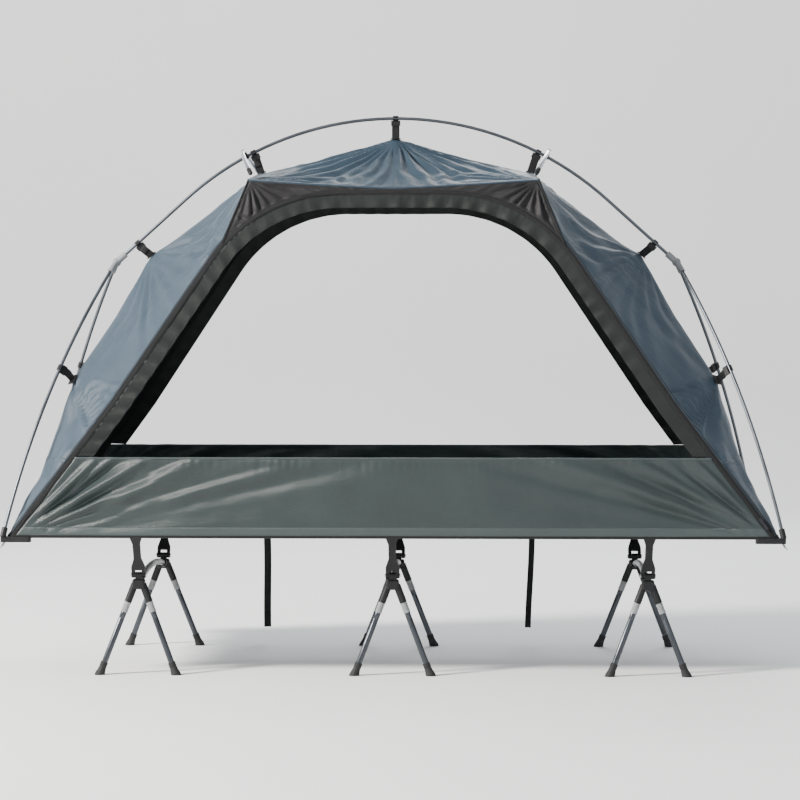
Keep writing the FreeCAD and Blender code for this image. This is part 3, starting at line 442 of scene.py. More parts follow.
def woven(name, base, roughness, sheen, mottle=0.10, coarse=1.0, gloss=0.5):
    """Coated plain weave: over and under threads, soft creases, faint unevenness of the coating."""
    pitch = bpy.context.scene.cot_cloth.weave * coarse
    s = Shader(name, Sheen_Weight=sheen, Sheen_Roughness=0.45, Specular_IOR_Level=gloss,
               Sheen_Tint=(0.80, 0.86, 0.88, 1.0))
    uv = s.coordinates("UV")
    split = s.node("ShaderNodeSeparateXYZ", {"Vector": uv})
    turn = 2 * math.pi / pitch
    warp = s.math("SINE", s.math("MULTIPLY", split.outputs["X"], turn))
    weft = s.math("SINE", s.math("MULTIPLY", split.outputs["Y"], turn))
    threads = s.math("MULTIPLY", warp, weft)
    cloud, grain = s.noise(uv, 5.0, 4.0), s.noise(uv, 160.0, 2.0)
    crease = s.noise(s.stretch(uv, (9.0, 26.0, 1.0), (0, 0, 0.7)), 1.0, 5.0, 0.62)
    tone = s.math("ADD", s.ramp(cloud, 0.3, 0.7, 1 - mottle, 1 + mottle),
                  s.ramp(grain, 0.3, 0.7, -0.05, 0.05))
    s.shade(base, s.math("ADD", tone, s.math("MULTIPLY", threads, 0.05)))
    normal = s.bump(crease, 0.004, 0.35)
    normal = s.bump(threads, pitch * 0.18, 0.5, normal)
    return s.finish(normal, s.ramp(cloud, 0.25, 0.75, roughness - 0.06, roughness + 0.07))


def anodised(name, base, roughness, metallic=0.85):
    """Drawn tube: fine lines along it, dulled patches and small scuffs."""
    s = Shader(name, Metallic=metallic)
    where = s.coordinates("Object")
    dull, lines = s.noise(where, 14.0, 4.0), s.noise(s.stretch(where, (60, 900, 900)), 1.0, 2.0)
    scuff = s.noise(s.stretch(where, (220, 220, 60)), 1.0, 6.0, 0.7)
    worn = s.ramp(scuff, 0.60, 0.72, 0.0, 0.5)
    s.shade(base, s.math("ADD", s.ramp(dull, 0.3, 0.7, 0.82, 1.15), worn))
    normal = s.bump(lines, 0.00006, 0.5)
    return s.finish(normal, s.math("ADD", s.ramp(dull, 0.3, 0.7, roughness - 0.07, roughness + 0.1),
                                   s.math("MULTIPLY", worn, 0.25)))


def moulded(name, base, roughness=0.48):
    """Glass-filled nylon: fine spark texture, flow marks and lighter handling marks."""
    s = Shader(name, Specular_IOR_Level=0.28)
    where = s.coordinates("Object")
    grain, flow = s.noise(where, 1500.0, 2.0), s.noise(where, 45.0, 4.0)
    marks = s.ramp(s.noise(where, 240.0, 5.0, 0.7), 0.62, 0.78, 0.0, 0.6)
    s.shade(base, s.math("ADD", s.ramp(flow, 0.3, 0.7, 0.85, 1.2), marks))
    normal = s.bump(grain, 0.0001, 0.6)
    return s.finish(normal, s.ramp(flow, 0.3, 0.7, roughness - 0.06, roughness + 0.08))


def strap_weave(name, base, pitch=0.0016):
    """Webbing: ribs across it with a herringbone break down its middle."""
    s = Shader(name, Sheen_Weight=0.08, Sheen_Roughness=0.5, Specular_IOR_Level=0.2)
    uv = s.coordinates("UV")
    split = s.node("ShaderNodeSeparateXYZ", {"Vector": uv})
    away = s.math("ABSOLUTE", split.outputs["X"])
    turn = 2 * math.pi / pitch
    ribs = s.math("SINE", s.math("MULTIPLY", s.math("ADD", split.outputs["Y"], away), turn))
    rows = s.math("SINE", s.math("MULTIPLY", split.outputs["X"], turn * 1.5))
    height = s.math("ADD", ribs, s.math("MULTIPLY", rows, 0.5))
    dust = s.noise(uv, 90.0, 4.0)
    s.shade(base, s.math("ADD", s.ramp(dust, 0.3, 0.7, 0.8, 1.3), s.math("MULTIPLY", height, 0.12)))
    return s.finish(s.bump(height, 0.00025, 0.8), s.ramp(dust, 0.3, 0.7, 0.62, 0.8))


@once
def roof_cloth():
    return woven("roof_cloth", bpy.context.scene.cot_colours.roof, 0.48, 0.12,
                 gloss=0.32)


@once
def end_cloth():
    return woven("end_cloth", bpy.context.scene.cot_colours.end, 0.46, 0.16,
                 gloss=0.36)


@once
def skirt_cloth():
    return woven("skirt_cloth", bpy.context.scene.cot_colours.skirt, 0.36, 0.14,
                 gloss=0.40)


@once
def gusset_cloth():
    return woven("gusset_cloth", bpy.context.scene.cot_colours.gusset, 0.50, 0.06,
                 gloss=0.22)


@once
def hem_cloth():
    light = [c * 1.35 for c in bpy.context.scene.cot_colours.skirt]
    return woven("hem_cloth", light, 0.42, 0.3)


@once
def flap_cloth():
    return woven("flap_cloth", bpy.context.scene.cot_colours.inner, 0.52, 0.06, 0.2,
                 gloss=0.22)


@once
def door_cloth():
    return woven("door_cloth", bpy.context.scene.cot_colours.inner, 0.55, 0.15, 0.25, 1.4)


@once
def floor_cloth():
    return woven("floor_cloth", bpy.context.scene.cot_colours.inner, 0.5, 0.15, 0.2, 1.6)


@once
def bed_cloth():
    return woven("bed_cloth", (0.018, 0.019, 0.021), 0.62, 0.2, 0.15, 2.0)


@once
def tape_cloth():
    return strap_weave("zipper_tape", (0.008, 0.008, 0.009), 0.0010)


@once
def black_webbing():
    return strap_weave("black_webbing", bpy.context.scene.cot_colours.webbing)


@once
def grey_webbing():
    return strap_weave("grey_webbing", bpy.context.scene.cot_colours.tab)


@once
def thread():
    s = Shader("sewing_thread", Roughness=0.6, Sheen_Weight=0.3)
    where = s.coordinates("Object")
    s.shade((0.045, 0.05, 0.052), s.ramp(s.noise(where, 700.0), 0.3, 0.7, 0.7, 1.4))
    return s.finish(s.bump(s.noise(where, 3000.0), 0.0001, 0.5))


@once
def teeth():
    s = Shader("zipper_teeth", Roughness=0.42, Specular_IOR_Level=0.3)
    where = s.coordinates("Object")
    s.shade((0.010, 0.010, 0.011), s.ramp(s.noise(where, 90.0), 0.3, 0.7, 0.7, 1.5))
    return s.finish(s.bump(s.noise(where, 2500.0), 0.00005, 0.5))


@once
def dark_tube():
    return anodised("dark_anodised_tube", bpy.context.scene.cot_colours.tube, 0.36)


# Legs: the rails' dark anodised colour lifted 1.2 times, painted light for the sunlit legs.
@once
def leg_tube():
    return anodised("leg_tube", [c * 1.2 for c in bpy.context.scene.cot_colours.tube], 0.30)


# Poles: the rails' dark anodised colour lifted 1.8 times, painted light standing in for sunlit poles.
@once
def pole_tube():
    return anodised("pole_tube", [c * 1.8 for c in bpy.context.scene.cot_colours.tube], 0.32)


@once
def silver_tube():
    return anodised("silver_tube", bpy.context.scene.cot_colours.strut, 0.26, 1.0)


@once
def black_plastic():
    return moulded("black_plastic", (0.008, 0.008, 0.009))


@once
def grey_plastic():
    return moulded("grey_plastic", (0.20, 0.205, 0.215), 0.42)


@once
def collar_plastic():
    return moulded("collar_plastic", (0.24, 0.245, 0.25), 0.40)


@once
def foot_rubber():
    return moulded("foot_rubber", (0.020, 0.020, 0.021), 0.66)


@once
def steel_pin():
    return anodised("steel_pin", (0.45, 0.45, 0.46), 0.28, 1.0)


@once
def lacquered_metal():
    s = Shader("zipper_metal", Metallic=0.7)
    where = s.coordinates("Object")
    wear = s.ramp(s.noise(where, 420.0, 5.0, 0.7), 0.58, 0.7, 0.0, 5.0)
    s.shade((0.03, 0.03, 0.033), s.math("ADD", 1.0, wear))
    return s.finish(s.bump(s.noise(where, 900.0), 0.00005, 0.5),
                    s.ramp(s.noise(where, 120.0), 0.3, 0.7, 0.28, 0.42))


# ---- repeated small pieces, by Geometry Nodes --------------------------------------------
def row_tree(name, shape):
    """Node tree that sets one small shape at each step of a curve, turned along it."""
    tree = bpy.data.node_groups.new(name, "GeometryNodeTree")
    face = tree.interface
    face.new_socket("Geometry", in_out="INPUT", socket_type="NodeSocketGeometry")
    for label, value in (("Pitch", 0.006), ("Length", 0.004), ("Width", 0.0008),
                         ("Height", 0.0006)):
        face.new_socket(label, in_out="INPUT", socket_type="NodeSocketFloat").default_value = value
    face.new_socket("Material", in_out="INPUT", socket_type="NodeSocketMaterial")
    face.new_socket("Geometry", in_out="OUTPUT", socket_type="NodeSocketGeometry")
    nodes, link = tree.nodes, tree.links.new
    given, result = nodes.new("NodeGroupInput"), nodes.new("NodeGroupOutput")
    spots = nodes.new("GeometryNodeCurveToPoints")
    spots.mode = "LENGTH"
    link(given.outputs["Geometry"], spots.inputs["Curve"])
    link(given.outputs["Pitch"], spots.inputs["Length"])
    if shape == "bead":
        bead = nodes.new("GeometryNodeMeshUVSphere")
        bead.inputs["Segments"].default_value = 6
        bead.inputs["Rings"].default_value = 4
        bead.inputs["Radius"].default_value = 0.5
        solid = bead.outputs["Mesh"]
    else:
        block = nodes.new("GeometryNodeMeshCylinder")
        block.inputs["Vertices"].default_value = 6
        block.inputs["Radius"].default_value = 0.5
        block.inputs["Depth"].default_value = 1.0
        lay = nodes.new("GeometryNodeTransform")
        lay.inputs["Rotation"].default_value = (math.pi / 2, 0, 0)
        link(block.outputs["Mesh"], lay.inputs["Geometry"])
        solid = lay.outputs["Geometry"]
    size = nodes.new("ShaderNodeCombineXYZ")
    link(given.outputs["Height"], size.inputs["X"])
    link(given.outputs["Width"], size.inputs["Y"])
    link(given.outputs["Length"], size.inputs["Z"])
    put = nodes.new("GeometryNodeInstanceOnPoints")
    link(spots.outputs["Points"], put.inputs["Points"])
    link(spots.outputs["Rotation"], put.inputs["Rotation"])
    link(solid, put.inputs["Instance"])
    link(size.outputs[0], put.inputs["Scale"])
    real = nodes.new("GeometryNodeRealizeInstances")
    link(put.outputs["Instances"], real.inputs["Geometry"])
    paint = nodes.new("GeometryNodeSetMaterial")
    link(real.outputs["Geometry"], paint.inputs["Geometry"])
    link(given.outputs["Material"], paint.inputs["Material"])
    link(paint.outputs["Geometry"], result.inputs["Geometry"])
    return tree


def row_along(name, lines, shape, material, **sizes):
    """Stitches or teeth along one or more lines, as one plain mesh. Each line is a list of points."""
    key = "row_of_" + shape
    tree = bpy.data.node_groups.get(key) or row_tree(key, shape)
    curve = bpy.data.curves.new(name + "_path", "CURVE")
    curve.dimensions = "3D"
    curve.twist_mode = "Z_UP"
    for points in lines:
        spline = curve.splines.new("POLY")
        spline.points.add(len(points) - 1)
        flat = np.concatenate([np.asarray(points, float), np.ones((len(points), 1))], 1)
        spline.points.foreach_set("co", flat.ravel())
    path = bpy.data.objects.new(name + "_path", curve)
    bpy.context.scene.collection.objects.link(path)
    modifier = path.modifiers.new("row", "NODES")
    modifier.node_group = tree
    sockets = {item.name: item.identifier for item in tree.interface.items_tree
               if item.item_type == "SOCKET" and item.in_out == "INPUT"}
    for label, value in sizes.items():
        modifier[sockets[label]] = value
    modifier[sockets["Material"]] = material
    bpy.context.view_layer.update()
    seen = path.evaluated_get(bpy.context.evaluated_depsgraph_get())
    mesh = bpy.data.meshes.new_from_object(seen)
    mesh.name = name
    thing = bpy.data.objects.new(name, mesh)
    bpy.context.scene.collection.objects.link(thing)
    bpy.data.objects.remove(path)
    thing.data.polygons.foreach_set("use_smooth", [True] * len(thing.data.polygons))
    return thing


def stitch_rows(name, lines, body=ROOT):
    cloth_set = bpy.context.scene.cot_cloth
    thing = row_along(name, lines, "bead", thread(), Pitch=cloth_set.stitch_pitch,
                      Length=cloth_set.stitch_pitch * 0.72, Width=0.0011, Height=0.0009)
    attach(thing, body)
    return thing


# ---- folds -------------------------------------------------------------------------------
def fan(points, centre, axis, other, folds, depth, reach, seed, spread=(0.0, 1.6), sway=1.0):
    """Tension folds that spread from a held corner, as a depth at each point."""
    offset = points - np.asarray(centre, float)
    a, b = offset @ np.asarray(axis, float), offset @ np.asarray(other, float)
    angle, away = np.arctan2(b, a), np.hypot(a, b)
    grain = Grain(seed)
    wander = angle + sway * (0.10 * grain.at(away * 7 + 3, angle * 2)
                             + 0.04 * grain.at(away * 19, angle * 7))
    count = folds / (spread[1] - spread[0])
    wave = np.sin((wander - spread[0]) * count * 2 * math.pi)
    crest = np.sign(wave) * np.abs(wave) ** 1.35
    strength = 0.55 + 0.45 * grain.at(wander * count * 0.9 + 11, 0.3)
    fade = smooth(0.0, 0.16 * reach, away) * (1 - smooth(0.35 * reach, reach, away))
    inside = smooth(spread[0] - 0.05, spread[0] + 0.1, angle) \
        * (1 - smooth(spread[1] - 0.1, spread[1] + 0.05, angle))
    return depth * crest * strength * fade * inside


def crease(points, first, last, depth, width):
    """One long soft fold between two points."""
    first, last = np.asarray(first, float), np.asarray(last, float)
    run = last - first
    share = np.clip(((points - first) @ run) / (run @ run), 0, 1)
    away = np.linalg.norm(points - (first + share[..., None] * run), axis=-1)
    along = np.sin(math.pi * np.clip(share, 0.03, 0.97)) ** 0.6
    return depth * np.exp(-(away / width) ** 2) * along


def gathers(along, away, pitch, depth, reach, seed):
    """Short gathers square to a seam, fading away from it."""
    grain = Grain(seed)
    phase = along / pitch + 0.6 * grain.at(along / pitch * 0.5, 0.0)
    return depth * np.sin(2 * math.pi * phase) * (0.6 + 0.4 * grain.at(along / pitch, 5.0)) \
        * np.exp(-away / reach)


def grid_area(points):
    """Area of a grid of points, in square metres."""
    a = np.cross(points[1:, :-1] - points[:-1, :-1], points[:-1, 1:] - points[:-1, :-1])
    b = np.cross(points[1:, :-1] - points[1:, 1:], points[:-1, 1:] - points[1:, 1:])
    return float((np.linalg.norm(a, axis=-1) + np.linalg.norm(b, axis=-1)).sum() / 2)


def sewn(thing, plain, nodes=()):
    """Ride and replace one sheet of the tent; plain is its grid before folds."""
    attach(thing, ROOT)
    if nodes:
        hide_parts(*nodes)
    area = grid_area(plain)
    length = np.linalg.norm(np.diff(plain, axis=1), axis=-1).sum(axis=1).max()
    width = np.linalg.norm(np.diff(plain, axis=0), axis=-1).sum(axis=0).max()
    width = min(max(width, area / length), area / length / 0.31)
    return thing


def riding(thing, body=ROOT, nodes=()):
    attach(thing, body)
    if nodes:
        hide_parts(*nodes)
    return thing


def cloth_set():
    return bpy.context.scene.cot_cloth


# ---- tent shapes -------------------------------------------------------------------------
def skirt_shape(side, rows=52, columns=300):
    """Plain and folded grids of a skirt, which fills the foot of the doorway."""
    up = np.linspace(0, SKIRT_TOP, rows)[:, None]
    half = door_width(-ZIP_HALF - 0.0003, up)
    x = np.linspace(-1, 1, columns)[None, :] * half
    plain = wall(x, up + 0 * x, side)
    flat = np.stack([x, up + 0 * x], -1)
    fold, seed = cloth_set().fold, 40 + side
    depth = (fan(flat, (-0.950, -0.012), (1, 0), (0, 1), 9, fold * 0.8, 1.25, seed,
                 (0.03, 1.15), 0.35)
             + fan(flat, (0.950, -0.012), (-1, 0), (0, 1), 8, fold * 0.6, 1.05, seed + 2,
                   (0.03, 1.15), 0.35))
    for end, tops in ((-1, (0.73, 0.67, 0.60, 0.52, 0.43, 0.33, 0.21, 0.08)),
                      (1, (0.75, 0.68, 0.60, 0.50, 0.38, 0.24))):
        for k, top in enumerate(tops):
            rise = SKIRT_TOP * (1.0 if k < 5 else 0.90)
            depth += crease(flat, (end * 0.950, -0.004), (end * top, rise),
                            fold * (1.5, -1.3)[k % 2] * (1 if end < 0 else 0.85),
                            0.0075 + 0.0018 * k)
    slack = Grain(seed + 8)
    depth += 0.0022 * slack.rough(x * 4.5 + up * 6, up * 9, 3)
    depth += gathers(x, SKIRT_TOP - up, 0.021, cloth_set().pucker, 0.022, seed + 9)
    depth += gathers(x, up, 0.026, cloth_set().pucker * 0.8, 0.02, seed + 10)
    hold = smooth(0, 0.02, up) * smooth(0, 0.03, half - np.abs(x)) \
        * (0.25 + 0.75 * smooth(0, 0.012, SKIRT_TOP - up))
    return plain, wall(x, up + 0 * x, side, depth * hold + 0.0004)


def pole_turn(angle):
    """Ridge pole's bend at an angle from the top: point, direction towards +X, outward normal."""
    return (np.array([RIDGE_R * math.sin(angle), 0, RIDGE_TOP - RIDGE_R * (1 - math.cos(angle))]),
            np.array([math.cos(angle), 0, -math.sin(angle)]),
            np.array([math.sin(angle), 0, math.cos(angle)]))


def ridge_end():
    """Half angle of the ridge pole's bend; beyond it the pole runs straight to its hub."""
    rise = POLE_HUB_Z - (RIDGE_TOP - RIDGE_R)
    return math.atan2(HUB_X, rise) - math.acos(RIDGE_R / math.hypot(HUB_X, rise))


def held_points():
    """Clip on the pole, pole direction and cloth point at the right end and at the top."""
    top = pole_turn(0.0)
    brow = pole_turn(math.asin(SWIVEL_X / RIDGE_R) - BROW_CLIP_BACK / RIDGE_R)
    _, slope, normal = pole_turn(ridge_end())
    clip = np.array([HUB_X, 0, POLE_HUB_Z]) - slope * RIDGE_CLIP_INSET
    start = np.array([HUB_X, 0, POLE_HUB_Z]) + POLE_FORK
    middle = np.array([BRANCH_MID[0], -BRANCH_MID[1], BRANCH_MID[2]])
    foot = np.array([BRANCH_FOOT[0], -BRANCH_FOOT[1], BRANCH_FOOT[2]])
    branch_way = circle_way(start, middle, foot)
    return {
        "top": (top[0], top[1], np.array([0, 0, ROOF_TOP])),
        "brow": (brow[0], brow[1], brow[0] - brow[2] * BROW_SEAM_IN + brow[1] * BROW_SEAM_ALONG),
        "ridge": (clip, slope, clip - normal * RIDGE_SEAM_IN - slope * RIDGE_SEAM_ALONG),
        "branch": (middle, branch_way, np.array([BRANCH_SEAM[0], -BRANCH_SEAM[1], BRANCH_SEAM[2]])),
    }


def circle_centre(a, b, c):
    ab, ac = b - a, c - a
    normal = np.cross(ab, ac)
    return a + (np.cross(normal, ab) * (ac @ ac) + np.cross(ac, normal) * (ab @ ab)) \
        / (2 * (normal @ normal))


def circle_way(a, b, c):
    """Direction of the arc a-b-c at b."""
    centre = circle_centre(a, b, c)
    way = np.cross(np.cross(b - a, c - a), b - centre)
    way /= np.linalg.norm(way)
    return way if way @ (c - a) > 0 else -way


def arc_points(a, b, c, count):
    centre = circle_centre(a, b, c)
    radius = np.linalg.norm(a - centre)
    first = (a - centre) / radius
    normal = np.cross(a - centre, b - centre)
    normal /= np.linalg.norm(normal)
    other = np.cross(normal, first)
    last = math.atan2((c - centre) @ other, (c - centre) @ first) % (2 * math.pi)
    turns = np.linspace(0, last, count)[:, None]
    return centre + radius * (np.cos(turns) * first + np.sin(turns) * other)


def end_knots():
    """Right end panel, near side: heights up the zipper's edge, and seam points, hem to brow."""
    half = door_half(ZIP_HALF + SEAM_GAP)
    bend = half[2, 1]
    mid = (BRANCH_SEAM[2] - HEM_Z) / math.cos(LEAN)
    tip = door_half(0.0)[2, 1] + GUSSET_RISE
    held = held_points()
    corner = np.array([END_X, -END_Y, HEM_Z])
    branch, ridge = held["branch"][2], held["ridge"][2]
    brow = held["brow"][2] + (SEAM_GAP, 0, 0)
    seam = [corner, (corner + branch) / 2, branch, (branch + ridge) / 2, ridge,
            ridge + (brow - ridge) * 0.33, ridge + (brow - ridge) * 0.67, brow]
    return [0.0, SKIRT_TOP, mid, (mid + bend) / 2, bend, tip], np.array(seam)


def end_shape(end, rows=150, columns=201):
    """Plain and folded grids of an end panel, from one door round the tent's end to the other."""
    ups, seam = end_knots()
    knots = np.linspace(0, 7, rows)
    top = np.array([SHOULDER[0] + SEAM_GAP, SHOULDER[1] - SEAM_GAP])
    edge = []
    for k in knots:
        if k <= 5:
            up = np.interp(k, range(6), ups)
            edge.append((door_width(ZIP_HALF + SEAM_GAP, up), up))
        else:
            tip = np.array([door_width(ZIP_HALF + SEAM_GAP, ups[5]), ups[5]])
            edge.append(tuple(tip + (top - tip) * (k - 5) / 2))
    edge = np.array(edge)
    edge = wall(edge[:, 0], edge[:, 1])
    seam = np.stack([np.interp(knots, range(8), seam[:, c]) for c in range(3)], -1)
    hang = np.interp(knots, [0, 0.5, 1, 1.5, 2, 3, 4, 5.5, 7], [0, 9, 13, 9, 0, 8, 0, 6, 0]) * MM
    seam = seam - np.stack([hang, -hang * 0.5, 0 * hang], -1)
    seam[:, 1] = np.minimum(seam[:, 1], 0)
    blur = np.interp(knots, [0, 0.6, 1.5, 2, 2.5, 3.6, 4, 4.6, 7],
                     [0.004, 0.030, 0.030, 0.006, 0.026, 0.022, 0.004, 0.016, 0.012])
    plain = np.zeros((rows, columns, 3))
    for r in range(rows):
        line = np.array([edge[r], seam[r], seam[r] * (1, 0, 1), seam[r] * (1, -1, 1),
                         edge[r] * (1, -1, 1)])
        fine = resample(line, columns)
        step = run_length(line) / (columns - 1)
        reach = max(int(3 * blur[r] / step), 1)
        weight = np.exp(-0.5 * (np.arange(-reach, reach + 1) * step / blur[r]) ** 2)
        padded = np.concatenate([2 * fine[0] - fine[reach:0:-1], fine,
                                 2 * fine[-1] - fine[-2:-reach - 2:-1]])
        plain[r] = np.stack([np.convolve(padded[:, c], weight / weight.sum(), "valid")
                             for c in range(3)], -1)
    normal, _ = outward(plain, (1, 0, 0.4))
    across = np.linspace(-1, 1, columns)[None, :]
    edge_away = np.minimum(np.linalg.norm(plain - plain[:, :1], axis=-1),
                           np.linalg.norm(plain - plain[:, -1:], axis=-1))
    low_away = np.linalg.norm(plain - plain[:1], axis=-1)
    depth = np.zeros((rows, columns))
    seed = 70 if end > 0 else 90
    fold = cloth_set().fold
    held = held_points()
    for k, side in enumerate((-1, 1)):
        on_side = smooth(-0.05, 0.05, across * side)
        flip = np.array([1, -side, 1])
        corner = np.array([END_X, -END_Y, HEM_Z]) * flip
        branch, ridge = held["branch"][2] * flip, held["ridge"][2]
        shoulder = wall(SHOULDER[0], SHOULDER[1]) * flip
        low_in = np.array([-0.55, 0, 0.83])
        depth += on_side * (
            fan(plain, corner, (-1, 0, 0), (0, 0, 1), 7, fold, 0.55, seed + k, (0.15, 1.75))
            + fan(plain, branch, (-0.85, 0, 0.52), (0, -side * 0.3, -1), 8, fold * 0.9, 0.42,
                  seed + 10 + k, (-0.3, 2.4))
            + fan(plain, ridge, (-0.75, 0.35 * side, -0.55), (0.66, 0, -0.75), 8, fold * 0.8, 0.45,
                  seed + 20 + k, (-1.0, 1.2))
            + fan(plain, shoulder, (0.35, 0, -0.94), (0.94, 0, 0.35), 6, fold * 0.7, 0.42,
                  seed + 30 + k, (-0.2, 1.3)))
        depth += on_side * (
            crease(plain, branch, corner + low_in * 0.34, -fold * 1.1, 0.020)
            + crease(plain, branch, shoulder, -fold * 0.9, 0.024)
            + crease(plain, ridge, branch, fold * 0.6, 0.016)
            + crease(plain, corner, corner + (branch - corner) * 0.9, fold * 0.9, 0.014))
    slack = Grain(seed + 41)
    run = np.linspace(0, 1.35, rows)[:, None]
    wide = across * 0.55
    depth += 0.0030 * slack.rough(run * 5 + wide * 3, wide * 6 + 9, 4)
    depth += gathers(run, edge_away, 0.030, cloth_set().pucker * 1.5, 0.030, seed + 42)
    hold = smooth(0, 0.018, edge_away) * (0.15 + 0.85 * smooth(0, 0.02, low_away))
    for key in ("branch", "ridge", "brow"):
        point = held[key][2]
        for flip in ((1, 1, 1), (1, -1, 1)):
            near = np.linalg.norm(plain - point * flip, axis=-1)
            hold = hold * (0.2 + 0.8 * smooth(0.004, 0.03, near))
    folded = plain + normal * (depth * hold)[..., None]
    return plain * (end, 1, 1), folded * (end, 1, 1)


def roof_shape(rows=121, columns=181):
    """Plain and folded grids of the roof, near eave over the ridge line to the far eave."""
    u = np.linspace(-1, 1, columns)[None, :]
    brow = held_points()["brow"][2]
    eave_up = EAVE + (SHOULDER[1] - EAVE) * np.abs(u) ** 1.25
    eave = wall(u * SHOULDER[0], eave_up)
    peak = np.stack([u * brow[0], 0 * u, ROOF_TOP - (ROOF_TOP - brow[2]) * np.abs(u)
                     - 0.005 * np.sin(math.pi * np.abs(u))], -1)
    t = np.linspace(-1, 1, rows)[:, None, None]
    foot = np.where(t < 0, eave, eave * (1, -1, 1))
    share = 1 - np.abs(t)
    plain = foot + (peak - foot) * share
    plain[..., 2] -= 0.006 * np.sin(math.pi * share[..., 0]) * (1 - np.abs(u) ** 3)
    normal, _ = outward(plain, (0, 0, 1))
    fold, depth = cloth_set().fold, 0.0
    top = np.array([0, 0, ROOF_TOP])
    for k, side in enumerate((-1, 1)):
        half = (t[..., 0] * side > 0) * 1.0
        for m, end in enumerate((-1, 1)):
            shoulder = wall(SHOULDER[0] * end, SHOULDER[1], side)
            depth = depth + half * (
                fan(plain, top, (end, 0, -0.1), (0, side * 0.87, -0.5), 7, fold * 0.75, 0.42,
                    120 + 2 * k + m, (0.05, 1.5))
                + fan(plain, shoulder, (-end, 0, 0), (0, -side * 0.87, 0.5), 6, fold * 0.6, 0.36,
                      130 + 2 * k + m, (0.0, 1.2))
                + crease(plain, top, shoulder, fold * 0.9, 0.022)
                + crease(plain, top, (shoulder + (0.15 * -end, 0, -0.01)), -fold * 0.5, 0.02))
    slack = Grain(141)
    depth = depth + 0.0018 * slack.rough(u * 3.4 + 5, t[..., 0] * 2.6 + 3, 3)
    away = (1 - np.abs(t[..., 0])) * 0.22
    depth = depth + gathers(u * 0.37, away, 0.024, cloth_set().pucker, 0.02, 142)
    rim = (1 - np.abs(t[..., 0])) * 0.22
    ends = (1 - np.abs(u)) * 0.36
    hold = smooth(-0.004, 0.018, rim) * smooth(0, 0.015, ends)
    folded = plain + normal * (depth * hold)[..., None]
    return plain, folded


def gusset_shape(side, rows=26, columns=261):
    """Plain and folded grids of the band between the door's bend and the eave."""
    tip_up = door_half(0.0)[2, 1] + GUSSET_RISE
    offset = ZIP_HALF + 0.0003
    low = door_outline(offset, columns, tip_up)
    corner = np.array([SHOULDER[0] - 0.003, SHOULDER[1] - 0.003])
    middle = np.array([0, EAVE - 0.003])
    high = np.concatenate([resample([low[0], corner], 50)[:-1],
                           resample([corner, middle, corner * (-1, 1)], columns - 98),
                           resample([corner * (-1, 1), low[-1]], 50)[1:]])
    t = np.linspace(0, 1, rows)[:, None, None]
    flat = low + (high - low) * t
    x, up = flat[..., 0], flat[..., 1]
    plain = wall(x, up, side)
    width = np.linalg.norm(high - low, axis=1)[None, :]
    low_away, high_away = width * t[..., 0], width * (1 - t[..., 0])
    run = np.concatenate([[0], np.cumsum(np.linalg.norm(np.diff(low, axis=0), axis=1))])[None, :]
    seed = 160 + side
    depth = gathers(run, low_away, 0.034, cloth_set().pucker * 2.0, 0.028, seed)
    depth = depth + gathers(run, high_away, 0.026, cloth_set().pucker * 1.4, 0.022, seed + 1)
    for m, end in enumerate((-1, 1)):
        depth = depth + fan(flat, (corner * (end, 1)), (-end, 0), (0, -1), 6,
                            cloth_set().fold * 0.7, 0.3, seed + 3 + m, (0.0, 1.9))
    depth = depth + 0.0016 * Grain(seed + 6).rough(run * 22, t[..., 0] * 2.0, 3)
    hold = smooth(0, 0.012, np.minimum(low_away, high_away))
    return plain, wall(x, up, side, depth * hold)


def zip_wave(side):
    """How far the zipper's line stands out from the wall, along its run in metres."""
    grain = Grain(180 + side)
    return lambda run: 0.0012 * grain.rough(np.asarray(run) * 9.0 + 4, 0.5, 3)


def outline_run(line):
    return np.concatenate([[0], np.cumsum(np.linalg.norm(np.diff(line, axis=0), axis=1))])


def band_shape(side, first, last, low, rows, columns, lift=0.0, ruffle=0.0, seed=0):
    """Grid that follows the door's outline between two offsets."""
    wave, lines = zip_wave(side), []
    for offset in np.linspace(first, last, rows):
        lines.append(door_outline(offset, columns, low))
    flat = np.array(lines)
    run = outline_run(flat[0])[None, :]
    share = np.linspace(0, 1, rows)[:, None]
    out = wave(run) + lift + 0 * share
    if ruffle:
        grain = Grain(seed)
        swing = np.sin(run / 0.052 * 2 * math.pi + 2.4 * grain.at(run * 7, 0.0))
        swing = swing * (0.55 + 0.45 * grain.at(run * 5, 7.0)) + 0.5 * grain.rough(run * 30, 3.0, 2)
        out = out + ruffle * swing * share ** 1.3 - 0.0015 * share
        out = out + 0.0008 * gathers(run, share * 0.03, 0.017, 1.0, 0.02, seed + 1)
    plain = wall(flat[..., 0], flat[..., 1], side)
    return plain, wall(flat[..., 0], flat[..., 1], side, out)


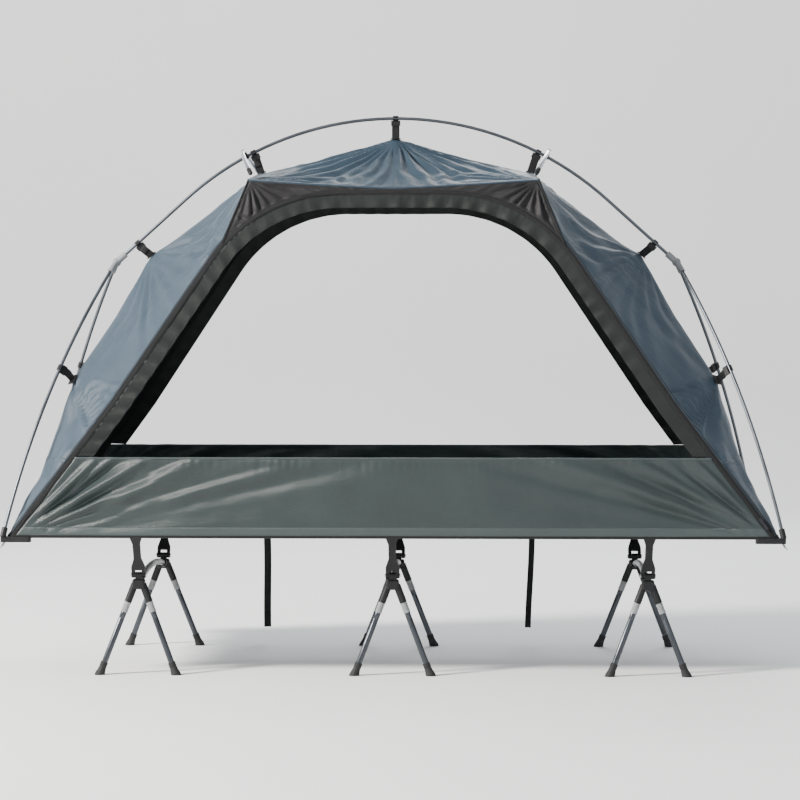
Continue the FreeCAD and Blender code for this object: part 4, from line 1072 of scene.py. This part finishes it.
# ---- cot shapes --------------------------------------------------------------------------
def bed_shape(columns=241):
    """Bed cloth across the cot, sleeve to sleeve, and the faces cut away at the levers."""
    ring = RAIL_R + 0.0010
    half = RAIL_END - 0.038
    x = np.linspace(-half, half, columns)
    for place in (-1, 0, 1):
        for way in (-1, 1):
            edge = place * SET_PITCH + way * NOTCH_HALF
            x[np.argmin(np.abs(x - edge))] = edge
    turns = np.radians(np.linspace(-150, 100, 26))
    sleeve = np.stack([-(RAIL_Y + ring * np.cos(turns)), RAIL_Z + ring * np.sin(turns)], -1)
    sheet = np.stack([np.linspace(-RAIL_Y + 0.012, RAIL_Y - 0.012, 61), np.zeros(61)], -1)
    tail = np.array([[-RAIL_Y + 0.024, RAIL_Z - 0.0020], [-RAIL_Y + 0.016, RAIL_Z - 0.0034]])
    line = np.concatenate([tail, sleeve, sheet + (0, RAIL_Z + 0.002),
                           (sleeve * (-1, 1))[::-1], (tail * (-1, 1))[::-1]])
    sheet_rows = (np.arange(len(line)) >= 28) & (np.arange(len(line)) < 28 + 61)
    grain = Grain(200)
    points = np.zeros((len(line), columns, 3))
    for r, (y, z) in enumerate(line):
        sag = 0.0
        if sheet_rows[r]:
            across = 1 - (y / (RAIL_Y - 0.012)) ** 2
            lever = sum(np.exp(-((x - p * SET_PITCH) / 0.22) ** 2) for p in (-1, 0, 1))
            sag = -0.0022 - 0.0045 * across * (1 - 0.35 * lever) \
                + 0.0010 * grain.rough(x * 9, y * 5, 3) * across
        points[r] = np.stack([x, np.full(columns, y), z + sag + 0 * x], -1)
    mid_y = (points[1:, :-1, 1] + points[:-1, :-1, 1]) / 2
    mid_x = (points[:-1, 1:, 0] + points[:-1, :-1, 0]) / 2
    at_lever = np.zeros(mid_x.shape, bool)
    for place in (-1, 0, 1):
        at_lever |= np.abs(mid_x - place * SET_PITCH) < NOTCH_HALF
    drop = at_lever & (np.abs(mid_y) > RAIL_Y - NOTCH_DEPTH)
    return points, drop


def bundle_shape(side, seed, columns=220, layers=9):
    """Door cloth gathered in layers on the floor behind its skirt."""
    base, half = BUNDLE_Z, 0.612
    inner = RAIL_Y - 0.016 - math.sin(LEAN) * 0.058 - 0.064
    x = np.linspace(-half, half, columns)
    q = np.linspace(0, 1, layers * 14)
    grain = Grain(seed)
    fat = 0.55 + 0.45 * np.sin(np.pi * (x / half + 1) / 2) ** 0.35 \
        + 0.07 * grain.rough(x * 8, 0.0, 3)
    fat = np.clip(fat, 0.3, 1.0)
    points = np.zeros((len(q), columns, 3))
    for k, share in enumerate(q):
        turn = share * layers * math.pi
        swing = -math.cos(turn)
        wobble = grain.rough(x * 6 + share * 5, share * 11, 3)
        reach = (0.026 + 0.004 * wobble) * fat
        y = inner + 0.033 + swing * reach + 0.003 * grain.rough(x * 5, share * 4 + 9, 3)
        lift = 0.0025 * grain.rough(x * 14 + swing * 2, share * 9, 3)
        slump = 0.004 * (1 - swing * swing)
        z = base + 0.003 + (0.050 * fat) * share + lift * share - slump * share
        points[k] = np.stack([x + 0.004 * grain.at(x * 20, share * 3), side * y, z], -1)
    points[..., 2] = np.maximum(points[..., 2], base)
    return points


# ---- operators ---------------------------------------------------------------------------
class COT_OT_stage(bpy.types.Operator):
    """Camera, floor, backdrop and soft studio lights"""
    bl_idname = "cot.stage"
    bl_label = "Stage and camera"

    def execute(self, context):
        camera = bpy.data.cameras.new("camera")
        camera.sensor_width, camera.lens = 36.0, 116.95
        eye = bpy.data.objects.new("camera", camera)
        eye.location = (0.1954, -6.7732, 0.9168)
        eye.rotation_euler = (math.pi / 2 - 0.0348, 0.0, 0.0272)
        context.scene.collection.objects.link(eye)
        context.scene.camera = eye
        floor = self.backdrop(context)
        for name, place, size, power, tint in (
                ("key_light", (-5.2, -2.6, 3.9), 1.1, 1150, (1.0, 0.97, 0.92)),
                ("fill_light", (3.4, -5.6, 2.4), 3.6, 55, (0.90, 0.95, 1.0)),
                ("rim_light", (0.6, 4.2, 3.8), 2.6, 130, (0.95, 0.98, 1.0))):
            lamp = bpy.data.lights.new(name, "AREA")
            lamp.shape, lamp.size, lamp.energy, lamp.color = "DISK", size, power, tint
            thing = bpy.data.objects.new(name, lamp)
            thing.location = place
            aim = Vector((0, 0, 0.7)) - Vector(place)
            thing.rotation_euler = aim.to_track_quat("-Z", "Y").to_euler()
            context.scene.collection.objects.link(thing)
        world = bpy.data.worlds.new("studio")
        world.use_nodes = True
        world.node_tree.nodes["Background"].inputs["Color"].default_value = (0.93, 0.96, 1.0, 1)
        world.node_tree.nodes["Background"].inputs["Strength"].default_value = 0.80
        context.scene.world = world
        return {"FINISHED"}

    def backdrop(self, context):
        """Pale floor that curves up into a wall far behind."""
        profile = [(-9.0, 0.0), (5.0, 0.0)]
        profile += [(5.0 + 2.5 * math.sin(a), 2.5 - 2.5 * math.cos(a))
                    for a in np.linspace(0.1, math.pi / 2, 12)]
        profile += [(7.5, 9.0)]
        rows = [[(x, y, z - 0.0005) for x in (-14.0, 14.0)] for y, z in profile]
        points = np.array(rows)
        floor = mesh_object("studio_floor", points.reshape(-1, 3),
                            grid_faces(len(profile), 2)[:, ::-1])
        s = Shader("studio_paper", Roughness=0.9, Specular_IOR_Level=0.2)
        where = s.coordinates("Object")
        s.shade((0.90, 0.90, 0.90), s.ramp(s.noise(where, 1.5), 0.3, 0.7, 0.99, 1.01))
        floor.data.materials.append(s.finish(s.bump(s.noise(where, 60.0), 0.001, 0.1)))
        return floor


class COT_OT_finishes(bpy.types.Operator):
    """Finishes of the rails, bars, hubs, levers, poles and fittings"""
    bl_idname = "cot.finishes"
    bl_label = "Tube and plastic finishes"

    def execute(self, context):
        plan = {"corner_fittings": black_plastic, "lever_pins": steel_pin, "ridge_pole": pole_tube,
                "strut_swivels": black_plastic, "pole_clips": black_plastic}
        for side, _ in SIDES:
            plan["rail_" + side] = dark_tube
            plan["zipper_slider_" + side] = lacquered_metal
        for name, _ in SETS:
            plan["cross_bar_" + name] = dark_tube
            for side, _ in SIDES:
                plan["hub_%s_%s" % (side, name)] = black_plastic
                plan["lever_%s_%s" % (side, name)] = black_plastic
        for end, _ in ENDS:
            plan["pole_hub_" + end] = grey_plastic
            for side, _ in SIDES:
                plan["branch_pole_%s_%s" % (side, end)] = pole_tube
        for node, finish in plan.items():
            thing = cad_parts[node]
            for k in range(max(len(thing.material_slots), 1)):
                if thing.material_slots:
                    thing.material_slots[k].link = "OBJECT"
                    thing.material_slots[k].material = finish()
                else:
                    thing.active_material = finish()
        return {"FINISHED"}


class COT_OT_legs(bpy.types.Operator):
    """Twelve legs: spigot and collar, tube and flared rubber foot"""
    bl_idname = "cot.legs"
    bl_label = "Legs"

    def execute(self, context):
        for set_name, place in SETS:
            for side_name, side in SIDES:
                for key, splay in (("a", -1), ("b", 1)):
                    self.leg("leg_%s_%s_%s" % (side_name, set_name, key), place * SET_PITCH,
                             side, splay)
        return {"FINISHED"}

    def leg(self, node, middle, side, splay):
        top = Vector((middle + splay * LEG_ROOT, side * HUB_Y, HUB_Z))
        foot = Vector((middle + splay * FOOT_SPREAD, side * FOOT_Y, 0))
        way, run = (foot - top).normalized(), (foot - top).length
        seat, rest = TUBE_SEAT, run - FOOT_LENGTH
        groove = []
        for k in range(4):
            g = seat + 0.0065 + k * 0.0045
            groove += [(g, 0.0088), (g + 0.0007, 0.0081), (g + 0.0020, 0.0081),
                       (g + 0.0027, 0.0088)]
        collar = lathe(node + "_collar", [
            (0.0160, 0.0051), (0.0170, 0.0060), (seat, 0.0060), (seat, 0.0077),
            (seat + 0.0010, 0.0088)]
            + groove + [(seat + 0.0262, 0.0088), (seat + 0.0270, 0.0081), (seat + 0.0270, 0.0074)],
            top, way, collar_plastic())
        tube = lathe(node + "_tube", [
            (seat + 0.004, 0.0070), (seat + 0.0280, 0.0074), (seat + 0.0285, 0.0075),
            (seat + 0.0420, 0.0075), (seat + 0.0425, 0.00725), (seat + 0.0440, 0.00725),
            (seat + 0.0445, 0.0075), (rest - 0.012, 0.0075), (rest + 0.012, 0.0075)],
            top, way, leg_tube())
        shoe = lathe(node + "_foot", [
            (0.0, 0.0076), (0.0004, 0.0086), (0.0014, 0.0094), (0.0050, 0.0094), (0.0056, 0.0089),
            (0.0068, 0.0089), (0.0074, 0.0094), (0.0110, 0.0094), (0.0116, 0.0090),
            (0.0130, 0.0090), (0.0160, 0.0093), (0.0210, 0.0101), (0.0270, 0.0114),
            (0.0310, 0.0124), (0.0345, 0.0127), (0.0410, 0.0127)],
            top + way * rest, way, foot_rubber(), above_floor=True)
        riding(joined(node + "_leg", [collar, tube, shoe]), node, [node])


class COT_OT_bed(bpy.types.Operator):
    """Bed cloth with its rail sleeves, and the tent's floor on it"""
    bl_idname = "cot.bed"
    bl_label = "Bed and floor cloth"

    def execute(self, context):
        points, drop = bed_shape()
        bed = cloth("bed_cloth", points, (0, 0, 1), bed_cloth(), 0.0009, drop)
        sewn(bed, points,
             ["bed_fabric"])
        lines = []
        for side in (-1, 1):
            for inset in (0.021, 0.025):
                x = np.linspace(-0.89, 0.89, 120)
                lines.append(np.stack([x, np.full(120, side * (RAIL_Y - inset)),
                                       np.full(120, RAIL_Z + 0.0003)], -1))
        stitch_rows("bed_stitches", lines)
        self.floor(context)
        return {"FINISHED"}

    def floor(self, context):
        half_x, half_y = RAIL_END - 0.026, 0.3155
        x = np.linspace(-half_x, half_x, 201)[None, :]
        line = [(-half_y, 0.012), (-half_y - 0.0005, 0.004), (-half_y + 0.002, 0.0)]
        y = np.concatenate([[p[0] for p in line], np.linspace(-half_y + 0.012, half_y - 0.012, 56),
                            [-p[0] for p in line[::-1]]])[:, None]
        lift = np.concatenate([[p[1] for p in line], np.zeros(56),
                               [p[1] for p in line[::-1]]])[:, None]
        across = np.clip(1 - (y / half_y) ** 2, 0, 1)
        grain = Grain(220)
        z = FLOOR_Z + lift - 0.0022 * across \
            + 0.0014 * grain.rough(x * 6 + y * 3, y * 9, 4) * across
        points = np.stack(np.broadcast_arrays(x, y, z), -1)
        floor = cloth("tent_floor_cloth", points, (0, 0, 1), floor_cloth(), 0.0006)
        sewn(floor, points, ["tent_floor"])


class COT_OT_ends(bpy.types.Operator):
    """End panels with their cross seams and hem binding"""
    bl_idname = "cot.ends"
    bl_label = "End panels"

    def execute(self, context):
        for end_name, end in ENDS:
            plain, folded = end_shape(end)
            name = "end_panel_%s_cloth" % end_name
            panel = cloth(name, folded, (end, 0, 0.4), end_cloth())
            hem = self.binding(end_name, folded)
            seam = self.cross_seam(end_name, end, folded)
            sewn(panel, plain,
                 ["end_panel_" + end_name])
        return {"FINISHED"}

    def binding(self, end_name, folded):
        row = resample(folded[0], 160)
        hem = sweep("hem_binding_" + end_name, row + (0, 0, 0.0025), (0, 0, 1),
                    band_section(0.008, 0.0032), tape_cloth())
        return riding(hem)

    def cross_seam(self, end_name, end, folded):
        """Felled seam across the panel at the skirts' height, with its two stitch rows."""
        normal, _ = outward(folded, (end, 0, 0.4))
        at = int(round((folded.shape[0] - 1) / 7))
        strips = [folded[at + k] + normal[at + k] * 0.0009 for k in range(-1, 1)]
        middle = (strips[0] + strips[1]) / 2
        way = strips[1] - strips[0]
        way /= np.linalg.norm(way, axis=1, keepdims=True)
        rows = np.array([middle + way * s + normal[at] * lift for s, lift in
                         ((-0.0058, -0.0008), (-0.0050, 0.0004), (0.0050, 0.0004),
                          (0.0058, -0.0008))])
        seam = cloth("cross_seam_" + end_name, rows, (end, 0, 0.4), end_cloth(), 0.0005)
        riding(seam)
        stitch_rows("cross_seam_stitches_" + end_name,
                    [(middle + way * s + normal[at] * 0.0006)[3:-3] for s in (-0.0036, 0.0036)])
        return seam


class COT_OT_roof(bpy.types.Operator):
    """Roof panel with its bound eaves"""
    bl_idname = "cot.roof"
    bl_label = "Roof"

    def execute(self, context):
        plain, folded = roof_shape()
        panel = cloth("roof_cloth", folded, (0, 0, 1), roof_cloth())
        edges, lines = [], []
        normal, _ = outward(folded, (0, 0, 1))
        for side_name, row, inner in (("near", 0, 1), ("far", -1, -2)):
            edges.append(riding(sweep("eave_piping_" + side_name,
                                      resample(folded[row], 140) - (0, 0, 0.0014),
                                      (0, 0, 1), round_section(0.0027, 8), roof_cloth())))
            into = folded[inner] - folded[row]
            into /= np.linalg.norm(into, axis=1, keepdims=True)
            lines.append((folded[row] + into * 0.006 + normal[row] * 0.0008)[3:-3])
        for column, inner in ((0, 1), (-1, -2)):
            into = folded[:, inner] - folded[:, column]
            into /= np.linalg.norm(into, axis=1, keepdims=True)
            lines.append((folded[:, column] + into * 0.006 + normal[:, column] * 0.0008)[2:-2])
            name = "roof_seam_" + ("left" if column == 0 else "right")
            edge = resample(folded[:, column], 90) - into[:1] * 0.0014
            edges.append(riding(sweep(name, edge, (1, 0, 0), round_section(0.0027, 8),
                                      roof_cloth())))
        stitches = stitch_rows("roof_stitches", lines)
        sewn(panel, plain,
             ["roof_panel"])
        return {"FINISHED"}


class COT_OT_skirts(bpy.types.Operator):
    """Skirts with the piped top seam, hem strip and black binding"""
    bl_idname = "cot.skirts"
    bl_label = "Skirts"

    def execute(self, context):
        for side_name, side in SIDES:
            plain, folded = skirt_shape(side)
            panel = cloth("skirt_%s_cloth" % side_name, folded, (0, side, 0), skirt_cloth())
            normal, _ = outward(folded, (0, side, 0))
            top = resample(folded[-1] + normal[-1] * 0.0008, 260)
            piping = riding(sweep("skirt_piping_" + side_name, top, (0, 0, 1),
                                  band_section(0.0052, 0.0026), hem_cloth()))
            strip_rows = [0, 2, 5, 6]
            strip = folded[strip_rows] + normal[strip_rows] * 0.0010
            strip[0] -= (0, 0, 0.001)
            strip[-1] -= normal[6] * 0.0009
            hem = riding(cloth("hem_strip_" + side_name, strip, (0, side, 0), hem_cloth(), 0.0006))
            low = resample(folded[0] * (1.012, 1, 1) - (0, 0, 0.001), 260)
            bound = riding(sweep("skirt_binding_" + side_name, low, (0, 0, 1),
                                 band_section(0.0075, 0.0034), tape_cloth()))
            rows = [folded[5] + normal[5] * 0.0014, folded[-3] + normal[-3] * 0.0006,
                    folded[-2] + normal[-2] * 0.0006]
            stitches = stitch_rows("skirt_stitches_" + side_name, [r[4:-4] for r in rows])
            sewn(panel, plain,
                 ["skirt_" + side_name])
        return {"FINISHED"}


class COT_OT_gussets(bpy.types.Operator):
    """Gathered bands between the doors and the roof"""
    bl_idname = "cot.gussets"
    bl_label = "Gussets"

    def execute(self, context):
        for side_name, side in SIDES:
            plain, folded = gusset_shape(side)
            band = cloth("gusset_%s_cloth" % side_name, folded, (0, side, 0), gusset_cloth())
            for end_name, end in ENDS:
                tip = door_width(ZIP_HALF + 0.0016, door_half(0.0)[2, 1] + GUSSET_RISE)
                line = resample([(tip, door_half(0.0)[2, 1] + 0.0400),
                                 (SHOULDER[0] + 0.0004, SHOULDER[1] - 0.0010)], 40)
                riding(sweep("gusset_seam_%s_%s" % (side_name, end_name),
                                          wall(line[:, 0] * end, line[:, 1], side), (1, 0, 0),
                                          round_section(0.0028, 8), tape_cloth()))
            sewn(band, plain,
                 ["gusset_" + side_name])
        return {"FINISHED"}


class COT_OT_zippers(bpy.types.Operator):
    """Zipper tapes, teeth and storm flaps round both doors"""
    bl_idname = "cot.zippers"
    bl_label = "Zippers and storm flaps"

    def execute(self, context):
        for side_name, side in SIDES:
            plain, folded = band_shape(side, ZIP_HALF + 0.0072, -ZIP_HALF - 0.0016, 0.0, 6, 520,
                                       lift=0.0003)
            folded[:2] -= wall(0, 0, side, 0.0022) - wall(0, 0, side)
            tape = cloth("zipper_tape_" + side_name, folded, (0, side, 0), tape_cloth(), 0.0010)
            line = door_outline(0.0, 700)
            run = outline_run(line)
            path = wall(line[:, 0], line[:, 1], side, zip_wave(side)(run) + 0.0009)
            row = riding(row_along("zipper_teeth_" + side_name, [path], "rod", teeth(),
                                   Pitch=cloth_set().tooth_pitch, Length=0.0013, Width=0.0046,
                                   Height=0.0016))
            flap_plain, flap_folded = band_shape(
                side, -ZIP_HALF - 0.0003, -ZIP_HALF - 0.0003 - FLAP_WIDTH, SKIRT_TOP + 0.004, 12,
                420, ruffle=0.0034, seed=190 + side)
            flap = cloth("storm_flap_" + side_name, flap_folded, (0, side, 0), flap_cloth(), 0.0008)
            edge = resample(flap_folded[-1], 420)
            lip = riding(sweep("flap_binding_" + side_name, edge, (0, side, 0),
                               band_section(0.0026, 0.0036), flap_cloth()))
            sewn(flap, flap_plain,
                 ())
            sewn(tape, plain,
                 ["zipper_" + side_name])
        return {"FINISHED"}


class COT_OT_doors(bpy.types.Operator):
    """Unzipped doors, gathered on the floor behind the skirts"""
    bl_idname = "cot.doors"
    bl_label = "Gathered doors"

    def execute(self, context):
        for side_name, side in SIDES:
            points = bundle_shape(side, 240 + side)
            door = cloth("door_%s_cloth" % side_name, points, (0, 0, 1), door_cloth(), 0.0005)
            sewn(door, points,
                 ["door_" + side_name])
        return {"FINISHED"}


class COT_OT_struts(bpy.types.Operator):
    """Brow struts: flat silver tube with black end caps"""
    bl_idname = "cot.struts"
    bl_label = "Brow struts"

    def execute(self, context):
        foot, along, normal = pole_turn(math.asin(SWIVEL_X / RIDGE_R))
        centre = foot + normal * SWIVEL_RISE
        corner = wall(SHOULDER[0], SHOULDER[1])
        drop = (centre - corner) @ normal - STRUT_TIP_RISE
        half = STRUT_OVERHANG - corner[1]
        for end_name, end in ENDS:
            mirror = np.array([end, 1, 1])
            tips = [(centre - normal * drop + (0, way * half, 0)) * mirror for way in (-1, 1)]
            path = arc_points(tips[0], centre * mirror, tips[1], 141)
            way = along * mirror
            strut = sweep("strut_tube_" + end_name, path[3:-3], way, band_section(0.010, 0.007, 5),
                          silver_tube())
            caps = []
            for number, part in enumerate((path[:9], path[::-1][:9])):
                size = np.ones((9, 2))
                size[0], size[1], size[-1] = (0.62, 0.50), (0.92, 0.88), (0.93, 0.90)
                caps.append(sweep("strut_cap_%s_%d" % (end_name, number), part, way,
                                  band_section(0.0124, 0.0094, 5), black_plastic(), scales=size))
            node = "brow_strut_" + end_name
            riding(joined("strut_%s_with_caps" % end_name, [strut] + caps), node,
                   [node])
        return {"FINISHED"}


class COT_OT_straps(bpy.types.Operator):
    """Webbing from the pole clips to the tent, corner tabs and hanging strap tails"""
    bl_idname = "cot.straps"
    bl_label = "Webbing"

    def execute(self, context):
        straps = []
        for key, (pole, way, seam) in held_points().items():
            flips = [(1, 1, 1)] if key == "top" else [(1, 1, 1), (-1, 1, 1)]
            if key == "branch":
                flips += [(1, -1, 1), (-1, -1, 1)]
            for number, flip in enumerate(flips):
                straps.append(self.strap("strap_%s_%d" % (key, number), pole * flip, way * flip,
                                         seam * flip))
        riding(joined("clip_straps_webbing", straps), ROOT, ["clip_straps"])
        self.tails()
        self.tabs()
        return {"FINISHED"}

    def strap(self, name, pole, way, seam):
        """Strap looped on the clip's tongue, with its sewn patch on the cloth."""
        reach = seam - pole
        square = reach - way * (reach @ way)
        square /= np.linalg.norm(square)
        side = np.cross(way, square)
        root = pole + square * 0.0205
        run = seam - root
        steps = np.linspace(0, 1, 12)[:, None]
        bow = side * 0.0025 * np.sin(steps * math.pi)
        path = root - square * 0.004 + (run + square * 0.004) * steps + bow
        web = sweep(name, path, way, band_section(0.020, 0.0016), black_webbing())
        back = sweep(name + "_return", path[:7] + side * 0.0019 * np.sin(
            np.linspace(0.4, math.pi - 0.3, 7))[:, None] + side * 0.0012, way,
            band_section(0.0196, 0.0014), black_webbing())
        patch_path = seam + side * np.linspace(-0.013, 0.013, 5)[:, None] - square * 0.0002
        patch = sweep(name + "_patch", patch_path, way, band_section(0.027, 0.0016),
                      black_webbing())
        return joined(name, [web, back, patch])

    def tails(self):
        parts = []
        top = RAIL_Z - RAIL_R - 0.002
        for way, width, lean in ((-1, 0.020, 0.004), (1, 0.0165, -0.010)):
            z = np.linspace(top + 0.002, 0.046, 24)
            share = (top - z) / (top - 0.046)
            x = way * 0.364 + lean * share + 0.0015 * np.sin(share * 5)
            y = RAIL_Y + 0.0010 + 0.003 * np.sin(share * 3.2) * share
            path = np.stack([x, y, z], -1)
            parts.append(sweep("tail_%d" % way, path, (1, 0.12 * way, 0),
                               band_section(width, 0.0016), black_webbing()))
            fold = path[-4:] + (0, -0.0017, 0)
            parts.append(sweep("tail_fold_%d" % way, fold, (1, 0.12 * way, 0),
                               band_section(width * 0.98, 0.0015), black_webbing()))
        riding(joined("hanging_strap_tails", parts), ROOT, ["hanging_straps"])

    def tabs(self):
        parts = []
        drop = math.radians(50)
        for end in (-1, 1):
            for side in (-1, 1):
                start = np.array([END_X - 0.004, END_Y - 0.028, HEM_Z + 0.004])
                way = np.array([math.cos(drop), 0.0, -math.sin(drop)])
                up = np.array([math.sin(drop), 0, math.cos(drop)])
                share = np.linspace(0, 1, 14)[:, None]
                line = start + way * 0.040 * share + up * (0.003 * np.sin(share * math.pi)) \
                    + (0, 0.004, 0) * share
                back = line[::-1] - up * 0.0024 * np.sin(np.linspace(0.9, math.pi, 14))[:, None]
                flip = np.array([end, side, 1])
                for number, path in enumerate((line, back[:9])):
                    parts.append(sweep("tab_%d_%d_%d" % (end, side, number), path * flip,
                                       (0, 1, 0), band_section(0.022 - 0.001 * number, 0.0017),
                                       grey_webbing()))
                eye = line[-1] + way * 0.002
                turns = np.linspace(0, 2 * math.pi, 25)[:, None]
                ring = eye + (0, 1, 0) * np.cos(turns) * 0.0065 + way * np.sin(turns) * 0.0060
                parts.append(sweep("tab_ring_%d_%d" % (end, side), ring * flip, up * flip,
                                   round_section(0.0013, 8), steel_pin()))
        riding(joined("corner_tab_webbing", parts), ROOT, ["corner_tabs"])


class COT_PT_panel(bpy.types.Panel):
    """Pieces of the tent cot"""
    bl_idname = "COT_PT_panel"
    bl_label = "Tent cot"
    bl_space_type = "VIEW_3D"
    bl_region_type = "UI"
    bl_category = "Tent cot"

    def draw(self, context):
        for group in (context.scene.cot_colours, context.scene.cot_cloth):
            for key in group.__annotations__:
                self.layout.prop(group, key)
        for step in STEPS:
            self.layout.operator(step.bl_idname)


STEPS = (COT_OT_stage, COT_OT_finishes, COT_OT_legs, COT_OT_bed, COT_OT_ends, COT_OT_roof,
         COT_OT_zippers, COT_OT_skirts, COT_OT_gussets, COT_OT_doors, COT_OT_struts, COT_OT_straps)
CLASSES = (CotColours, CotCloth) + STEPS + (COT_PT_panel,)


def register():
    for item in CLASSES:
        bpy.utils.register_class(item)
    bpy.types.Scene.cot_colours = bpy.props.PointerProperty(type=CotColours)
    bpy.types.Scene.cot_cloth = bpy.props.PointerProperty(type=CotCloth)


def unregister():
    del bpy.types.Scene.cot_cloth
    del bpy.types.Scene.cot_colours
    for item in reversed(CLASSES):
        bpy.utils.unregister_class(item)


def main():
    register()
    for step in STEPS:
        group, name = step.bl_idname.split(".")
        getattr(getattr(bpy.ops, group), name)()


if __name__ == "__main__":
    main()
